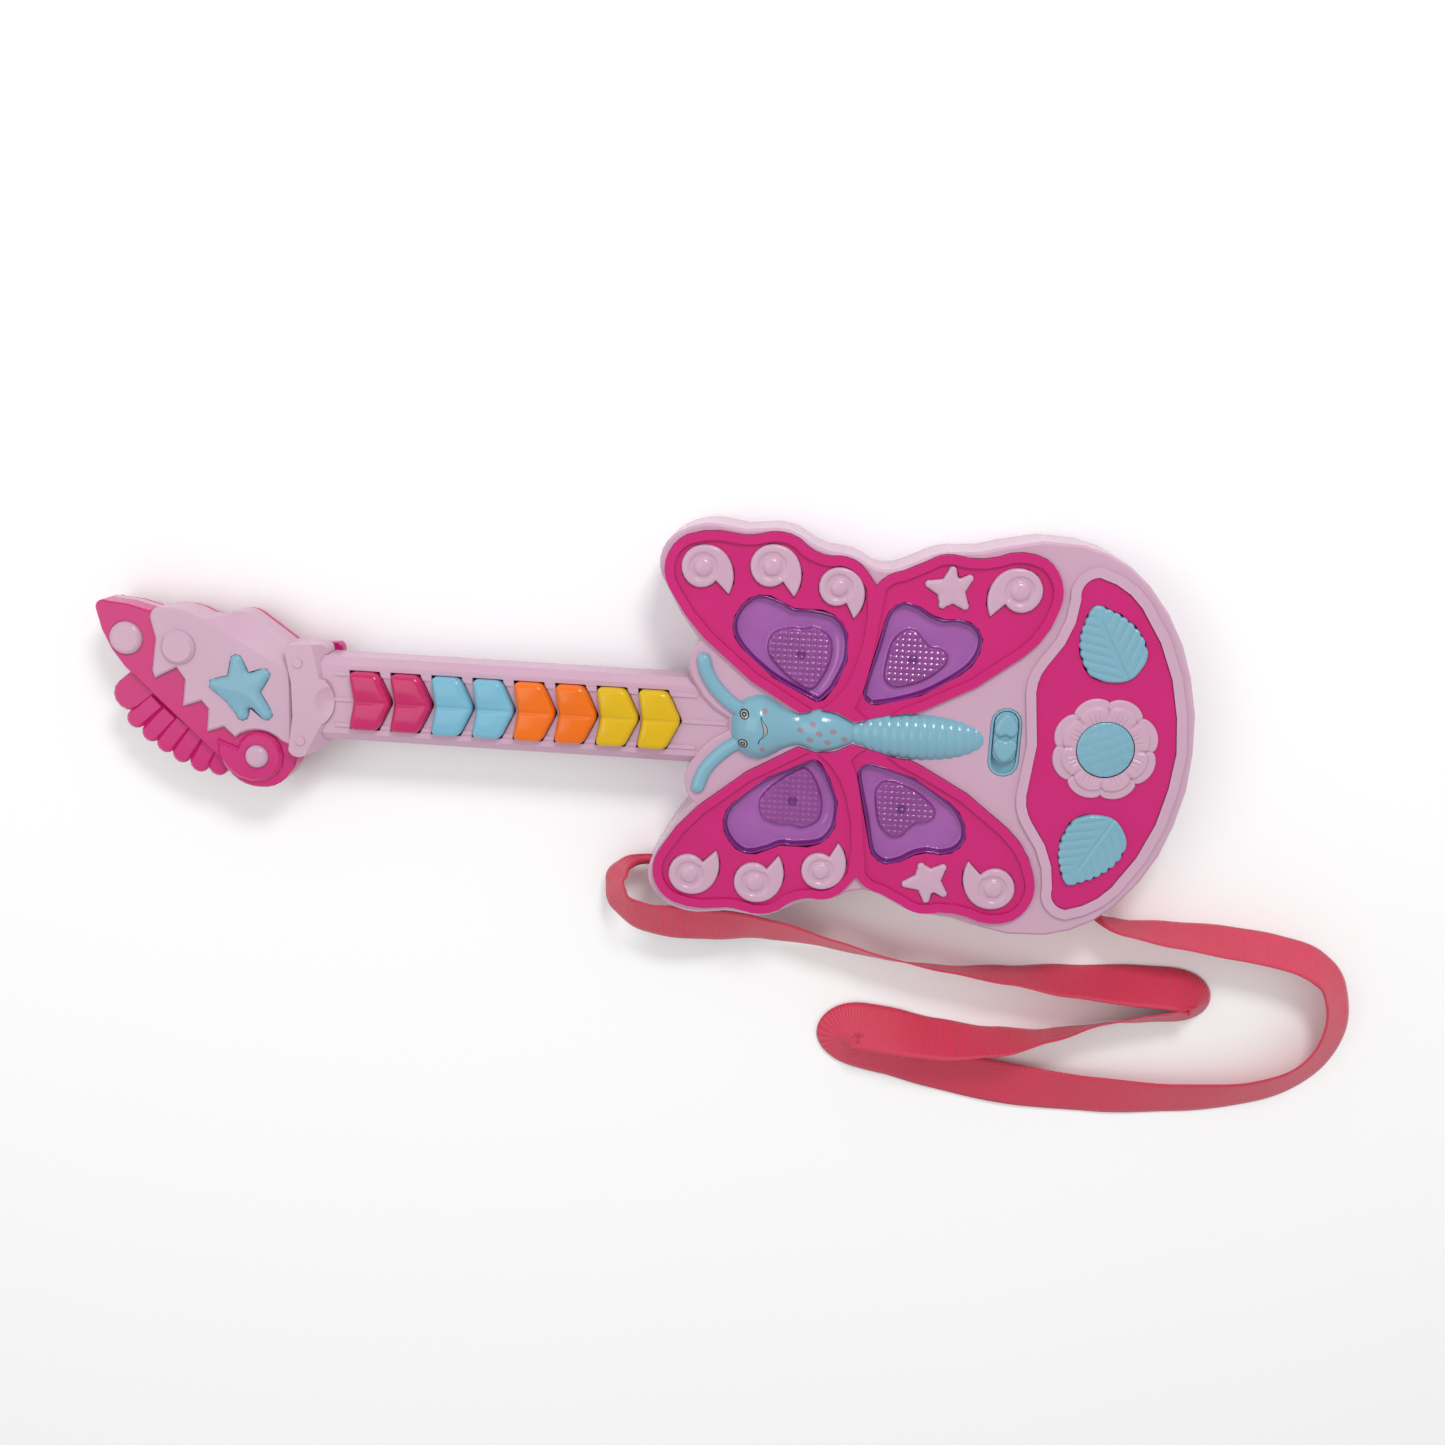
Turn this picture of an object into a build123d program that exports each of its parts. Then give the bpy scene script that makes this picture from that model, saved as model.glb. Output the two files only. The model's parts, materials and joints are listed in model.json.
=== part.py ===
"""Toy electric guitar with a butterfly body, lying on its back.

Millimetres. +Z points out of the face, +X runs from the headstock to the tail and +Y across the body.
The origin is on the flat back, under the middle of the body.
"""

from build123d import *
import os
from math import atan2, ceil, cos, degrees, hypot, pi, radians, sin, sqrt, tan

# ---- driving dimensions ----
back_depth = 17.0        # height of the rear shell, up to the parting line
face_depth = 19.0        # height of the front shell above the parting line
wall = 2.4               # body shell walls
past = 1.0               # how far a cut runs past what it cuts
lap = 0.1                # how far two joined forms run into each other
face_bevel = 1.2         # bevel round the face
back_round = 2.5         # bevel round the back
fit = 0.2                # clearance of what is inserted
seat_depth = 1.0         # how deep the inlaid panels sit in the face
seat_ledge = 3.2         # width of the ledge under the edge of a panel
panel_proud = 0.6        # height of a panel's field above the face
rim_width = 4.3          # raised rim round each wing
rim_height = 1.6         # rim above the field of the panel
rim_bevel = 0.9          # bevel on the outer edge of the rim
ridge_width = 4.6        # raised ridge round the tail panel
ridge_height = 1.6       # ridge above the face
lens_drop = 3.6          # depth of the recess in a lens
lens_wall = 1.6          # wall and floor of a lens
heart_rise = 1.5         # height of the patterned heart in a lens

key_travel = 1.8         # stroke of every key and button
key_gap = 0.3            # clearance round a key and under a bar or stem
key_rise = 2.6           # height of a body key above the face
key_bevel = 0.7          # bevel on top of a body key
key_bar = 1.2            # thickness of the bar that holds a key in
bar_reach = 1.3          # how far the bar reaches past the key
bar_width = 5.0          # width of that bar
stem_side = 5.0          # side of the stem under a key
pad_side = 6.0           # side of a rubber contact pad
pad_height = 2.4         # height of a rubber contact pad
board_thick = 1.6        # both circuit boards

snail_eye = 4.1          # radius of the dome in a snail key
snail_eye_rise = 1.0     # height of that dome

neck_drop = 2.5          # face of the neck below the face of the body
neck_half = 20.7         # half the width of the neck
neck_flat = 17.0         # half the width of the neck's flat face
neck_shoulder = 3.0      # height of the sloping shoulder
neck_back = 9.0          # height of the neck's back above the table
neck_split = 20.0        # parting line of the neck
neck_wall = 2.0          # walls of the neck
neck_keel = 12.0         # half the width of the flat on the neck's back
neck_side = 4.0          # height of the rear half's straight sides
neck_start = -304.0      # headstock end of the neck
neck_end = -84.0         # end of the neck inside the body
neck_fit = 0.15          # clearance of the neck in the body and collar
rail_pitch = 12.7        # spacing of the three rails along the neck
rail_width = 2.0
rail_height = 0.7
rail_start = 20.0        # from the headstock end of the neck
rail_stop = -107.5       # end of the outer rails, at the pads beside the neck
board_step = 3.0         # recess for the neck's circuit board above the parting line
board_start = 12.0       # from the neck's inner end

neck_keys = 8
neck_key_pitch = 20.04
neck_key_first = -276.3  # left edge of the first key
neck_key_length = 21.2   # from the left edge to the tip
neck_key_square = 14.2   # from the left edge to the shoulder
neck_key_notch = 2.6     # depth of the notch on the left
neck_key_half = 14.3     # half the width of a key
neck_key_rise = 5.0      # height above the neck's face
neck_key_bevel = 1.4     # bevel on top

head_back = 7.0          # headstock: height of its back above the table
head_rear_thick = 6.0    # magenta rear cover
head_mid_thick = 5.0     # light middle layer
head_core_thick = 12.0   # magenta horn and spiral
head_plate_rise = 2.6    # light front plate above the core
head_wall = 2.2
inlay_sink = 6.0          # depth of the star's pocket below the horn's face
inlay_rise = 2.4
plate_bevel = 1.0
horn_bevel = 0.8
stud_bevel = 1.6
stud_sink = 1.5
head_inset = 0.8         # rear cover inside the edge of the middle layer
collar_rise = 2.2        # collar above the neck's face
collar_low = 18.0        # lower edge of the collar's cheeks

fly_sink = 8.2           # depth below the face of the axis that the butterfly's body is turned about
fly_gap = 0.6            # clearance of the panels round the butterfly's body
fly_rings = 14           # rings of the abdomen
ring_depth = 0.7         # groove between two rings
feeler_width = 6.8       # antenna inlays
feeler_rise = 3.0
feeler_bevel = 1.0

petals = 8
flower_x = 85.0
flower_notch = 22.8      # radius at the notches between petals
flower_reach = 25.2      # radius at the crown of a petal
flower_step = 0.84       # size of the inner step of the petals
flower_rise = 2.2
flower_disc = 13.3       # radius of the button in the flower
disc_rise = 3.6
disc_bevel = 1.2

well_length = 33.0       # slide switch
well_width = 14.3
well_x = 38.5
well_depth = 4.0
well_wall = 1.2
switch_travel = 5.0
knob_rise = 2.6
knob_base = 0.8          # top of the knob under its hearts

cell_radius = 7.25       # AA cells
cell_length = 50.5
cell_count = 3
cell_pitch = 15.0
cell_room = 1.0          # beside the outer cells
nub_radius = 2.7         # positive end of a cell
nub_length = 1.0
bay_x = 12.0             # middle of the battery compartment
contact_thick = 0.5
contact_spring = 2.2
bay_wall = 1.6
door_thick = 2.0
door_gap = 0.25
door_notch = 4.0         # length of the finger notch, and its distance from the end
notch_half = 8.0
notch_depth = 1.0
door_screw = 6.0         # distance of the screw from the end
contact_half = 5.0       # half the height of a contact plate
tongue_half = 2.0

speaker_x = -50.0
speaker_radius = 20.0
speaker_depth = 11.0
speaker_rim = 1.6        # thickness of its rim
speaker_ring = 1.6       # wall of the ring that holds it
basket_inset = 2.0
basket_bevel = 4.0
basket_height = 6.0
magnet_radius = 9.0
cone_radius = 15.0
slot_count = 5
slot_width = 2.2
slot_pitch = 5.0

ribbon_width = 25.0
ribbon_thick = 1.0
tie_radius = 2.2         # the ribbon's gathered ends
tie_gap = 0.3
knot_radius = 4.0
knot_length = 5.0
ribbon_reach = 0.45      # share of the shorter run that a bend takes
ribbon_turn = 20.0       # degrees between two flats of the ribbon's bends

outline_turn = 14.0      # smooth outlines are laid in flats that turn about this many degrees
small_turn = 26.0        # the same on small repeated pieces
petal_turn = 32.0         # petals
star_turn = 60.0          # tips of the stars
disc_sides = 20          # flats round bosses and buttons
eye_sides = 12
post_sides = 10
ON_BASE = (Align.CENTER, Align.CENTER, Align.MIN)

# ---- heights worked out from them ----
face = back_depth + face_depth
seat = face - seat_depth
field = face + panel_proud
rim_top = field + rim_height
bar_top = seat - key_gap
bay_roof = back_depth + bay_wall
board_low = bay_roof     # the main board lies on the battery compartment
board_top = board_low + board_thick
stem_foot = board_top + pad_height + key_gap + key_travel
neck_face = face - neck_drop
neck_board_low = neck_split - board_thick
head_split = head_back + head_rear_thick
core_low = head_split + head_mid_thick
core_top = core_low + head_core_thick
plate_top = core_top + head_plate_rise
inlay_low = core_top - inlay_sink


# ---- outlines ----
def arc_flats(start, middle, end, flat_turn):
    """Points after start on the arc through three points, one for each flat."""
    a, m, b = Vector(*start), Vector(*middle), Vector(*end)
    half_turn = pi - radians((a - m).get_angle(b - m))
    count = ceil(2 * degrees(half_turn) / flat_turn)
    if count < 2:
        return [end]
    arc = ThreePointArc(a, m, b)
    return [((arc @ (k / count)).X, (arc @ (k / count)).Y) for k in range(1, count)] + [end]


def chain_flats(points, flat_turn=outline_turn):
    """Flats along arcs through start, middle and end in turn; each arc starts where the last one ends."""
    flats = [points[0]]
    for start, middle, end in zip(points[0:-2:2], points[1:-1:2], points[2::2]):
        flats += arc_flats(start, middle, end, flat_turn)
    return flats


def mirrored(points):
    return [(x, -y) for x, y in reversed(points)]


def closed_face(flats):
    """Face inside a closed line, whose last point may repeat its first."""
    if hypot(flats[0][0] - flats[-1][0], flats[0][1] - flats[-1][1]) < 0.01:
        flats = flats[:-1]
    return make_face(Polyline(*flats, close=True))


def chain_face(points, flat_turn=outline_turn):
    return closed_face(chain_flats(points, flat_turn))


def both_halves(points, flat_turn=outline_turn):
    """Closed outline, the same on both sides of the X axis, from its +Y half."""
    half = chain_flats(points, flat_turn)
    return closed_face(half + mirrored(half)[1:])


def grown(outline, by):
    return offset(outline, amount=by, kind=Kind.TANGENT)


def block(outline, low, high):
    """Straight block over an outline, between two heights."""
    return Pos(0, 0, low) * extrude(outline, amount=high - low, dir=(0, 0, 1))


def box(x_low, x_high, y_half, low, high, y_mid=0.0):
    size = (x_high - x_low, 2 * y_half, high - low)
    return Pos((x_low + x_high) / 2, y_mid, (low + high) / 2) * Box(*size)


def disc(radius, low, high, sides=disc_sides):
    """Round boss, pin or hole with flat sides."""
    return block(RegularPolygon(radius, sides), low, high)


def post(x, y, radius, low, high):
    return Pos(x, y) * disc(radius, low, high, post_sides)


def button(radius, low, high, bevel, sides=disc_sides):
    return top_bevel(disc(radius, low, high, sides), bevel)


def band(points, width, round_end=False):
    """Face of even width along a line of flats, mitred at each corner; its far end square or round."""
    line = [Vector(*p) for p in points]
    runs = [(b - a).normalized() for a, b in zip(line, line[1:])]
    left, right = [], []
    for here, before, after in zip(line, runs[:1] + runs, runs + runs[-1:]):
        ahead = (before + after) / (1 + before.dot(after))
        aside = Vector(-ahead.Y, ahead.X) * (width / 2)
        left.append(here + aside)
        right.append(here - aside)
    tip = line[-1] + runs[-1] * (width / 2)
    end = arc_flats(*((p.X, p.Y) for p in (left[-1], tip, right[-1])), small_turn)[:-1] if round_end else []
    return make_face(Polyline(*(left + end + right[::-1]), close=True))


def top_bevel(solid, size):
    """Bevel round the top face of a block."""
    top = solid.faces().sort_by(Axis.Z)[-1]
    return chamfer(top.outer_wire().edges(), size)


pad_side_half = [(-92, 0), (-92, 1.5), (-92, 3), (-102, 9.5), (-109.8, 20), (-112.2, 30), (-107.5, 39.5)]
wing_side_half = [
    (-107.5, 39.5), (-117.5, 53), (-125, 66.5), (-127.6, 80), (-119, 91), (-109.5, 94.8), (-98, 94.8),
    (-88.5, 93.4), (-79, 94.3), (-69, 94.3), (-60, 90), (-52, 86.2), (-43, 84.9), (-37, 83.5), (-31, 80),
    (-24.5, 78.2), (-15, 80), (-9, 82.6), (-4, 85.3), (3, 87.8), (10, 88.3), (20, 89), (30, 91.8),
    (48, 95.4), (66, 94.6), (84, 88.4), (98, 77.4), (112.5, 57.3), (121, 36), (124.9, 19), (126, 0),
]
heel_half = [(-110, 0), (-110, 10), (-110, 20), (-112.2, 30), (-107.5, 39.5)]

body_half = pad_side_half + wing_side_half[1:]
rear_half = heel_half + wing_side_half[1:]

wing_half = [
    (-56, 0), (-56.5, 3.7), (-57, 7.5), (-82, 22), (-105, 41), (-115.5, 52.8), (-123, 64.5), (-124.6, 79),
    (-115.5, 89.5), (-105, 92), (-93, 91.3), (-87, 90.8), (-81, 91.8), (-72, 93.1), (-63, 90.3),
    (-56, 85), (-48, 83.1), (-38, 82.2), (-31.5, 77), (-29, 73.8), (-26.7, 70.5),
]
tail_wing = [
    (-26.7, 70.5), (-22, 75.5), (-15, 78.2), (-9.5, 80.5), (-4, 83.5), (2, 86.5), (8, 87), (18, 85.7),
    (28, 87.2), (39, 89.8), (50, 87.2), (57.4, 78), (57.8, 65), (53.2, 53.5), (43.5, 42),
    (22, 25.5), (0, 13.7), (-12, 7.5), (-20, 0),
]
fore_divide = [(-26.7, 70.5), (-25.8, 50), (-30, 30), (-36, 17), (-46, 7), (-50, 4), (-56, 0)]
tail_divide = [(-20, 0), (-33, 6.5), (-38, 12), (-33, 24), (-30.5, 40), (-29.5, 55), (-26.7, 70.5)]

fore_lens = [
    (-71, 61), (-64, 57.8), (-57, 57.8), (-44.6, 55.3), (-38.5, 47), (-38, 34.5), (-42.5, 23),
    (-44.7, 19.3), (-46.8, 16.2), (-49.7, 14.3), (-53.5, 15.2), (-73, 25), (-88, 38), (-92.4, 48),
    (-89, 57.4), (-81, 63.2), (-71, 61),
]
tail_lens = [
    (-29.4, 21), (-27.8, 16), (-22.5, 14.4), (-2, 20.3), (15, 31), (22.3, 39.5), (24, 48.5),
    (20, 54.7), (12.5, 57.2), (6, 56.7), (0, 58.4), (-6, 62), (-13, 63.8), (-18.7, 60.8), (-21.5, 55),
    (-24.3, 42), (-29.4, 21),
]
fore_heart = [
    (-75.5, 36), (-74, 45), (-66, 48.4), (-60, 48.2), (-54, 49.2), (-46.6, 45), (-45.2, 36.5),
    (-47.5, 28), (-51.5, 21), (-54.5, 19.2), (-58.5, 20.4), (-68, 27), (-75.5, 36),
]
tail_heart = [
    (-20.5, 30), (-18, 44), (-12, 50.5), (-6.5, 50.3), (-3, 46.5), (0.5, 43.4), (5, 42.6), (8.8, 39.8),
    (8, 34.5), (-1, 27), (-13, 22.8), (-18.8, 24.6), (-20.5, 30),
]

tail_panel_half = [
    (53.3, 0), (52.2, 12.5), (50.6, 25), (51.4, 31.5), (54.5, 38), (58, 43.2), (61.5, 48.5),
    (65.4, 58.5), (67, 70), (68.8, 77.6), (74.5, 80.4), (85.5, 76), (95, 67.5), (109.3, 43),
    (116.3, 17), (117.6, 9), (118, 0),
]

leaf_tip = (73.5, 67)
leaf_edge = [(81.5, 65), (89, 61), (95.5, 55), (99, 47.5), (98.5, 42.5), (92.6, 34), (82.5, 32.6),
             (74.5, 35.4), (70.8, 41.5), (69, 49), (69.6, 57), (73.5, 67)]
leaf_bulge = [0.9, 0.9, 0.9, 0.9, 0.5, 0.4, 0.5, 1.0, 0.9, 0.9, 0.8, 0.9]
leaf_stalk = (92.6, 34)
vein_places = (0.28, 0.5, 0.7)  # share of the midrib at which a pair of veins leaves it
vein_turn = 42.0          # degrees from the midrib
vein_width = 0.7
vein_reach = (0.42, 0.2)  # length at the stalk and its loss towards the tip, as shares of the midrib
rib_reach = 0.92

# wing, x, y, size, turn of the tail in degrees and whether it winds the other way
snail_places = [(-107.5, 75, 10.2, 0, 1), (-75.5, 77, 10.2, -7, 1), (-44, 69, 9.4, -17, 1), (39, 72, 10.4, 0, -1)]
star_place = (7.6, 70.7)
star_tips = [(0.0, 11.3), (-12.3, 2.7), (-4.4, -8.8), (8.2, -8.5), (9.6, 6.9)]
star_waist = 6.4
star_round = 1.8          # radius of the tips


def snail_outline(size, hand=1, side=1):
    """A snail shell: from the notch round to the tail, which points away from the headstock."""
    spiral = [(-45, 0.88), (-112, 0.98), (-180, 1.0), (135, 1.0), (82, 1.03), (20, 1.24), (-45, 1.72)]
    points = [(hand * size * reach * cos(radians(a)), side * size * reach * sin(radians(a))) for a, reach in spiral]
    return chain_face(points, small_turn)


def star_outline(tips, waist, tip_radius):
    """A star with uneven arms: round tips, and one corner between each two of them."""
    flats = []
    for near, far in zip(tips, tips[1:] + tips[:1]):
        a, b = atan2(near[1], near[0]), atan2(far[1], far[0])
        b += 2 * pi if b < a else 0
        reach = hypot(*near) - tip_radius
        first, last = [((reach * cos(a) - side * tip_radius * sin(a)), (reach * sin(a) + side * tip_radius * cos(a)))
                       for side in (-1, 1)]
        flats += [first] + arc_flats(first, near, last, star_turn)
        flats.append((waist * cos((a + b) / 2), waist * sin((a + b) / 2)))
    return closed_face(flats)


def scalloped(start, ends, bulges):
    """Outline of bulging arcs from point to point."""
    points = [start]
    for (ax, ay), (bx, by), bulge in zip([start] + ends[:-1], ends, bulges):
        length = hypot(bx - ax, by - ay)
        points.append(((ax + bx) / 2 - (by - ay) / length * bulge, (ay + by) / 2 + (bx - ax) / length * bulge))
        points.append((bx, by))
    return chain_face(points, small_turn)


def petal_outline(notch, crown):
    """Petals as equal arcs from notch to notch."""
    step = 2 * pi / petals
    points = [(notch, 0)]
    for k in range(petals):
        for reach, turn in ((crown, k + 0.5), (notch, k + 1)):
            points.append((reach * cos(turn * step), reach * sin(turn * step)))
    return chain_face(points, petal_turn)


def neck_key_outline():
    half, square = neck_key_half, neck_key_square
    corners = [(0, half), (neck_key_notch, 0), (0, -half), (square, -half), (neck_key_length, 0), (square, half)]
    return make_face(Polyline(*corners, close=True))


# ---- butterfly ----
head_profile = [(-91, 0), (-88.6, 9), (-82, 14.8), (-76.5, 15.7), (-70.5, 13), (-65, 9.7), (-58.5, 7.8)]
chest_profile = [(-58.5, 7.8), (-47.5, 10.2), (-33, 5.0)]
belly_start, belly_wide, belly_end = -33.0, -3.0, 28.8
waist_half, belly_half = 4.8, 11.2


def belly_width(x):
    """Half width of the abdomen, a cosine towards the waist and an ellipse towards the tail."""
    if x < belly_wide:
        share = (belly_wide - x) / (belly_wide - belly_start)
        return waist_half + (belly_half - waist_half) * cos(share * pi / 2)
    share = (x - belly_wide) / (belly_end - belly_wide)
    return belly_half * sqrt(max(0, 1 - share ** 2))


def butterfly_profile():
    """Half outline from the brow to the tail, with one groove after each ring."""
    points = chain_flats(head_profile + chest_profile[1:], small_turn)
    pitch = (belly_end - belly_start) / fly_rings
    for k in range(fly_rings - 1):
        x = belly_start + (k + 1) * pitch
        points += [(x - pitch / 2, belly_width(x - pitch / 2)), (x, belly_width(x) - ring_depth)]
    return points + [(belly_end - pitch / 2, belly_width(belly_end - pitch / 2)), (belly_end, 0)]


def butterfly_body():
    """Turned form sunk in the face, so each section is the cap of a circle as wide as the profile."""
    crest = [(x, hypot(width, fly_sink)) for x, width in butterfly_profile()]
    outline = closed_face([(crest[0][0], 0)] + crest + [(crest[-1][0], 0)])
    form = Pos(0, 0, face - fly_sink) * revolve(outline, Axis.X, 360)
    return form & box(crest[0][0] - past, crest[-1][0] + past, 2 * belly_half, face, face + 2 * belly_half)


def butterfly_footprint():
    """Room in the wing panels and inlays for the butterfly's body."""
    belly = [(x, belly_width(x)) for x in (-22, -9, 4, 14, 24.5, belly_end)]
    return grown(both_halves(head_profile + chest_profile[1:] + belly, small_turn), fly_gap)


# ---- keys ----
def held_key(outline, low, top, bevel, bar_box, stem_low):
    """A key that stands through its panel, with the bar that stops it from below and its stem."""
    key = block(outline, low, top)
    if bevel:
        key = top_bevel(key, bevel)
    return key + bar_box + box(-stem_side / 2, stem_side / 2, stem_side / 2, stem_low, low)


def snail_at(place, side):
    x, y, size, turn, hand = place
    return Pos(x, side * y) * (Rot(0, 0, hand * side * turn) * snail_outline(size, hand, side))


def snail_key(place, side):
    x, y, size = place[:3]
    outline = Pos(-x, -side * y) * snail_at(place, side)
    reach = size + bar_reach
    bar = box(-reach, size, bar_width / 2, bar_top - key_bar, bar_top)
    key = held_key(outline, bar_top - key_bar, face + key_rise, key_bevel, bar, stem_foot)
    eye = button(snail_eye, face + key_rise, face + key_rise + snail_eye_rise, 0.8 * snail_eye_rise, eye_sides)
    return Pos(x, side * y) * (key + eye)


def star_key(side):
    x, y = star_place
    outline = star_outline(star_tips, star_waist, star_round)
    if side < 0:
        outline = mirror(outline, Plane.XZ)
    reach = star_waist + 2 * bar_reach
    bar = box(-reach, reach, bar_width / 2, bar_top - key_bar, bar_top)
    return Pos(x, side * y) * held_key(outline, bar_top - key_bar, face + key_rise, key_bevel, bar, stem_foot)


def leaf_outline(side):
    outline = scalloped(leaf_tip, leaf_edge, leaf_bulge)
    return outline if side > 0 else mirror(outline, Plane.XZ)


def leaf_middle(side):
    xs, ys = [p[0] for p in leaf_edge], [p[1] for p in leaf_edge]
    return (min(xs) + max(xs)) / 2, side * (min(ys) + max(ys)) / 2


def leaf_button(side):
    """A leaf with a ridge of two slopes along its midrib and grooves for the side veins."""
    x, y = leaf_middle(side)
    low, top = bar_top - key_bar, face + key_rise
    leaf = top_bevel(block(leaf_outline(side), low, top), key_bevel)
    stalk = Vector(leaf_stalk[0], side * leaf_stalk[1])
    rib = Vector(leaf_tip[0], side * leaf_tip[1]) - stalk
    veins = [(0, 0, rib_reach)] + [(share, turn, vein_reach[0] - vein_reach[1] * share)
                                   for share in vein_places for turn in (-vein_turn, vein_turn)]
    for share, turn, reach in veins:
        root = stalk + rib * share
        size = (rib.length * reach, vein_width, vein_width)
        groove = Rot(45, 0, 0) * Box(*size, align=(Align.MIN, Align.CENTER, Align.CENTER))
        leaf -= Pos(root.X, root.Y, top) * (Rot(0, 0, degrees(atan2(rib.Y, rib.X)) + turn) * groove)
    half = (max(p[0] for p in leaf_edge) - min(p[0] for p in leaf_edge)) / 2 + bar_reach
    bar = box(x - half, x + half, bar_width / 2, low, bar_top, y)
    stem = box(x - stem_side / 2, x + stem_side / 2, stem_side / 2, stem_foot, low, y)
    return leaf + bar + stem


def flower_button():
    low, top = bar_top - key_bar, face + disc_rise
    middle = button(flower_disc, low, top, disc_bevel)
    reach = flower_disc + bar_reach
    bar = box(-reach, reach, bar_width / 2, low, bar_top)
    stem = box(-stem_side / 2, stem_side / 2, stem_side / 2, stem_foot, low)
    return Pos(flower_x, 0) * (middle + bar + stem)


def flower_petals():
    """Two steps of petals with a bore for the button, seated on the tail panel."""
    lower = block(petal_outline(flower_notch, flower_reach), field, field + flower_rise / 2)
    upper = petal_outline(flower_step * flower_notch, flower_step * flower_reach)
    whole = lower + block(upper, field + flower_rise / 2, field + flower_rise)
    return Pos(flower_x, 0) * (whole - disc(flower_disc + key_gap, field, field + flower_rise))


def neck_key(k):
    """A chevron key through the neck's face."""
    x = neck_key_first + k * neck_key_pitch
    low, roof = neck_face - neck_wall, neck_face - neck_wall - key_gap
    key = Pos(x) * top_bevel(block(neck_key_outline(), roof - key_bar, neck_face + neck_key_rise), neck_key_bevel)
    middle = x + (neck_key_notch + neck_key_square) / 2
    bar = box(middle - bar_width / 2, middle + bar_width / 2, neck_key_half + bar_reach, roof - key_bar, roof)
    foot = neck_split + pad_height + key_gap + key_travel
    stem = box(middle - stem_side / 2, middle + stem_side / 2, stem_side / 2, foot, roof - key_bar)
    return key + bar + stem


# ---- body shells ----
post_places = [(-89.5, 87.2), (61.5, 88.6)]
end_post = (119.6, 0)
post_radius = 3.4
screw_bore = 1.4
screw_well = 2.7
screw_hold = 6.0          # plastic left round each screw, below the parting line


def all_posts():
    return post_places + [(x, -y) for x, y in post_places] + [end_post]


def panel_openings():
    """Seats and through openings for the inlaid panels."""
    cuts = []
    for turn, by, low in ((outline_turn, fit, seat), (small_turn, -seat_ledge, face - wall - past)):
        for outline in (wing_panel_outline(1, turn), wing_panel_outline(-1, turn), both_halves(tail_panel_half, turn)):
            cuts.append(block(grown(outline, by), low, face + past))
    return cuts


def neck_room():
    return neck_form(neck_fit)


def front_shell():
    """Light shell with the outline of the wings, the tail ridge and the seats of the inlays."""
    outline = both_halves(body_half)
    shell = top_bevel(block(outline, back_depth, face), face_bevel)
    shell -= block(grown(both_halves(body_half, small_turn), -wall), back_depth - past, face - wall)
    tail = both_halves(tail_panel_half)
    shell += block(grown(tail, ridge_width), face - lap, face + ridge_height) - block(tail, 0, face + 2 * ridge_height)
    for cut in panel_openings():
        shell -= cut
    shell += block(outline, back_depth, face - wall) & front_posts()
    shell -= well_room()
    return shell - neck_room()


def front_posts():
    return Part() + [post(x, y, post_radius, back_depth, face - wall + lap) for x, y in all_posts()]


def rear_shell():
    """Light shell with the battery compartment, speaker slots, screw posts and holes for the ribbon."""
    outer = block(both_halves(rear_half), 0, back_depth)
    base = outer.faces().sort_by(Axis.Z)[0]
    outer = chamfer(base.outer_wire().edges(), back_round)
    shell = outer - block(grown(both_halves(rear_half, small_turn), -wall), wall, back_depth + past)
    for x, y in all_posts():
        shell += post(x, y, post_radius, wall / 2, back_depth) & outer
    shell += bay_box(bay_wall, bay_roof)
    shell -= bay_box(0, back_depth)
    rim = speaker_radius + fit
    ring = disc(rim + speaker_ring, wall - lap, wall + 2 * speaker_rim) - disc(rim, 0, wall + 3 * speaker_rim)
    shell += Pos(speaker_x, 0) * ring
    for k in range(slot_count):
        y = (k - (slot_count - 1) / 2) * slot_pitch
        half = sqrt(cone_radius ** 2 - y ** 2)
        shell -= box(speaker_x - half, speaker_x + half, slot_width / 2, -past, wall + past, y)
    for x, y in all_posts():
        shell -= post(x, y, screw_well, -past, back_depth - screw_hold)
        shell -= post(x, y, screw_bore, 0, back_depth + past)
    for place in tie_places:
        shell -= tie_rod(place, tie_radius + tie_gap, 2 * wall, 2 * wall)
    return shell - neck_room()


def bay_half():
    return cell_count * cell_pitch / 2 + cell_room


def bay_ends():
    half = cell_length / 2 + contact_thick + contact_spring
    return bay_x - half, bay_x + half


def bay_box(margin, top):
    low, high = bay_ends()
    bottom = wall / 2 if margin else -past
    return box(low - margin, high + margin, bay_half() + margin, bottom, top)


def battery_door():
    """Door with a finger notch at one end and a screw ear at the other."""
    low, high = bay_ends()
    door = box(low + door_gap, high - door_gap, bay_half() - door_gap, 0, door_thick)
    door -= box(low + door_notch, low + 2 * door_notch, notch_half, -past, notch_depth)
    return door - post(high - door_screw, 0, screw_bore, -past, door_thick + past)


def cell_middle_height():
    return back_depth - fit - cell_radius


def batteries():
    group = Part()
    for k in range(cell_count):
        y = (k - (cell_count - 1) / 2) * cell_pitch
        flip = 180 if k % 2 else 0
        half = (cell_length - nub_length) / 2
        cell = disc(cell_radius, -half, half) + disc(nub_radius, half, half + nub_length, post_sides)
        group += Pos(bay_x, y, cell_middle_height()) * (Rot(0, 90 + flip, 0) * cell)
    return group


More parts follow.
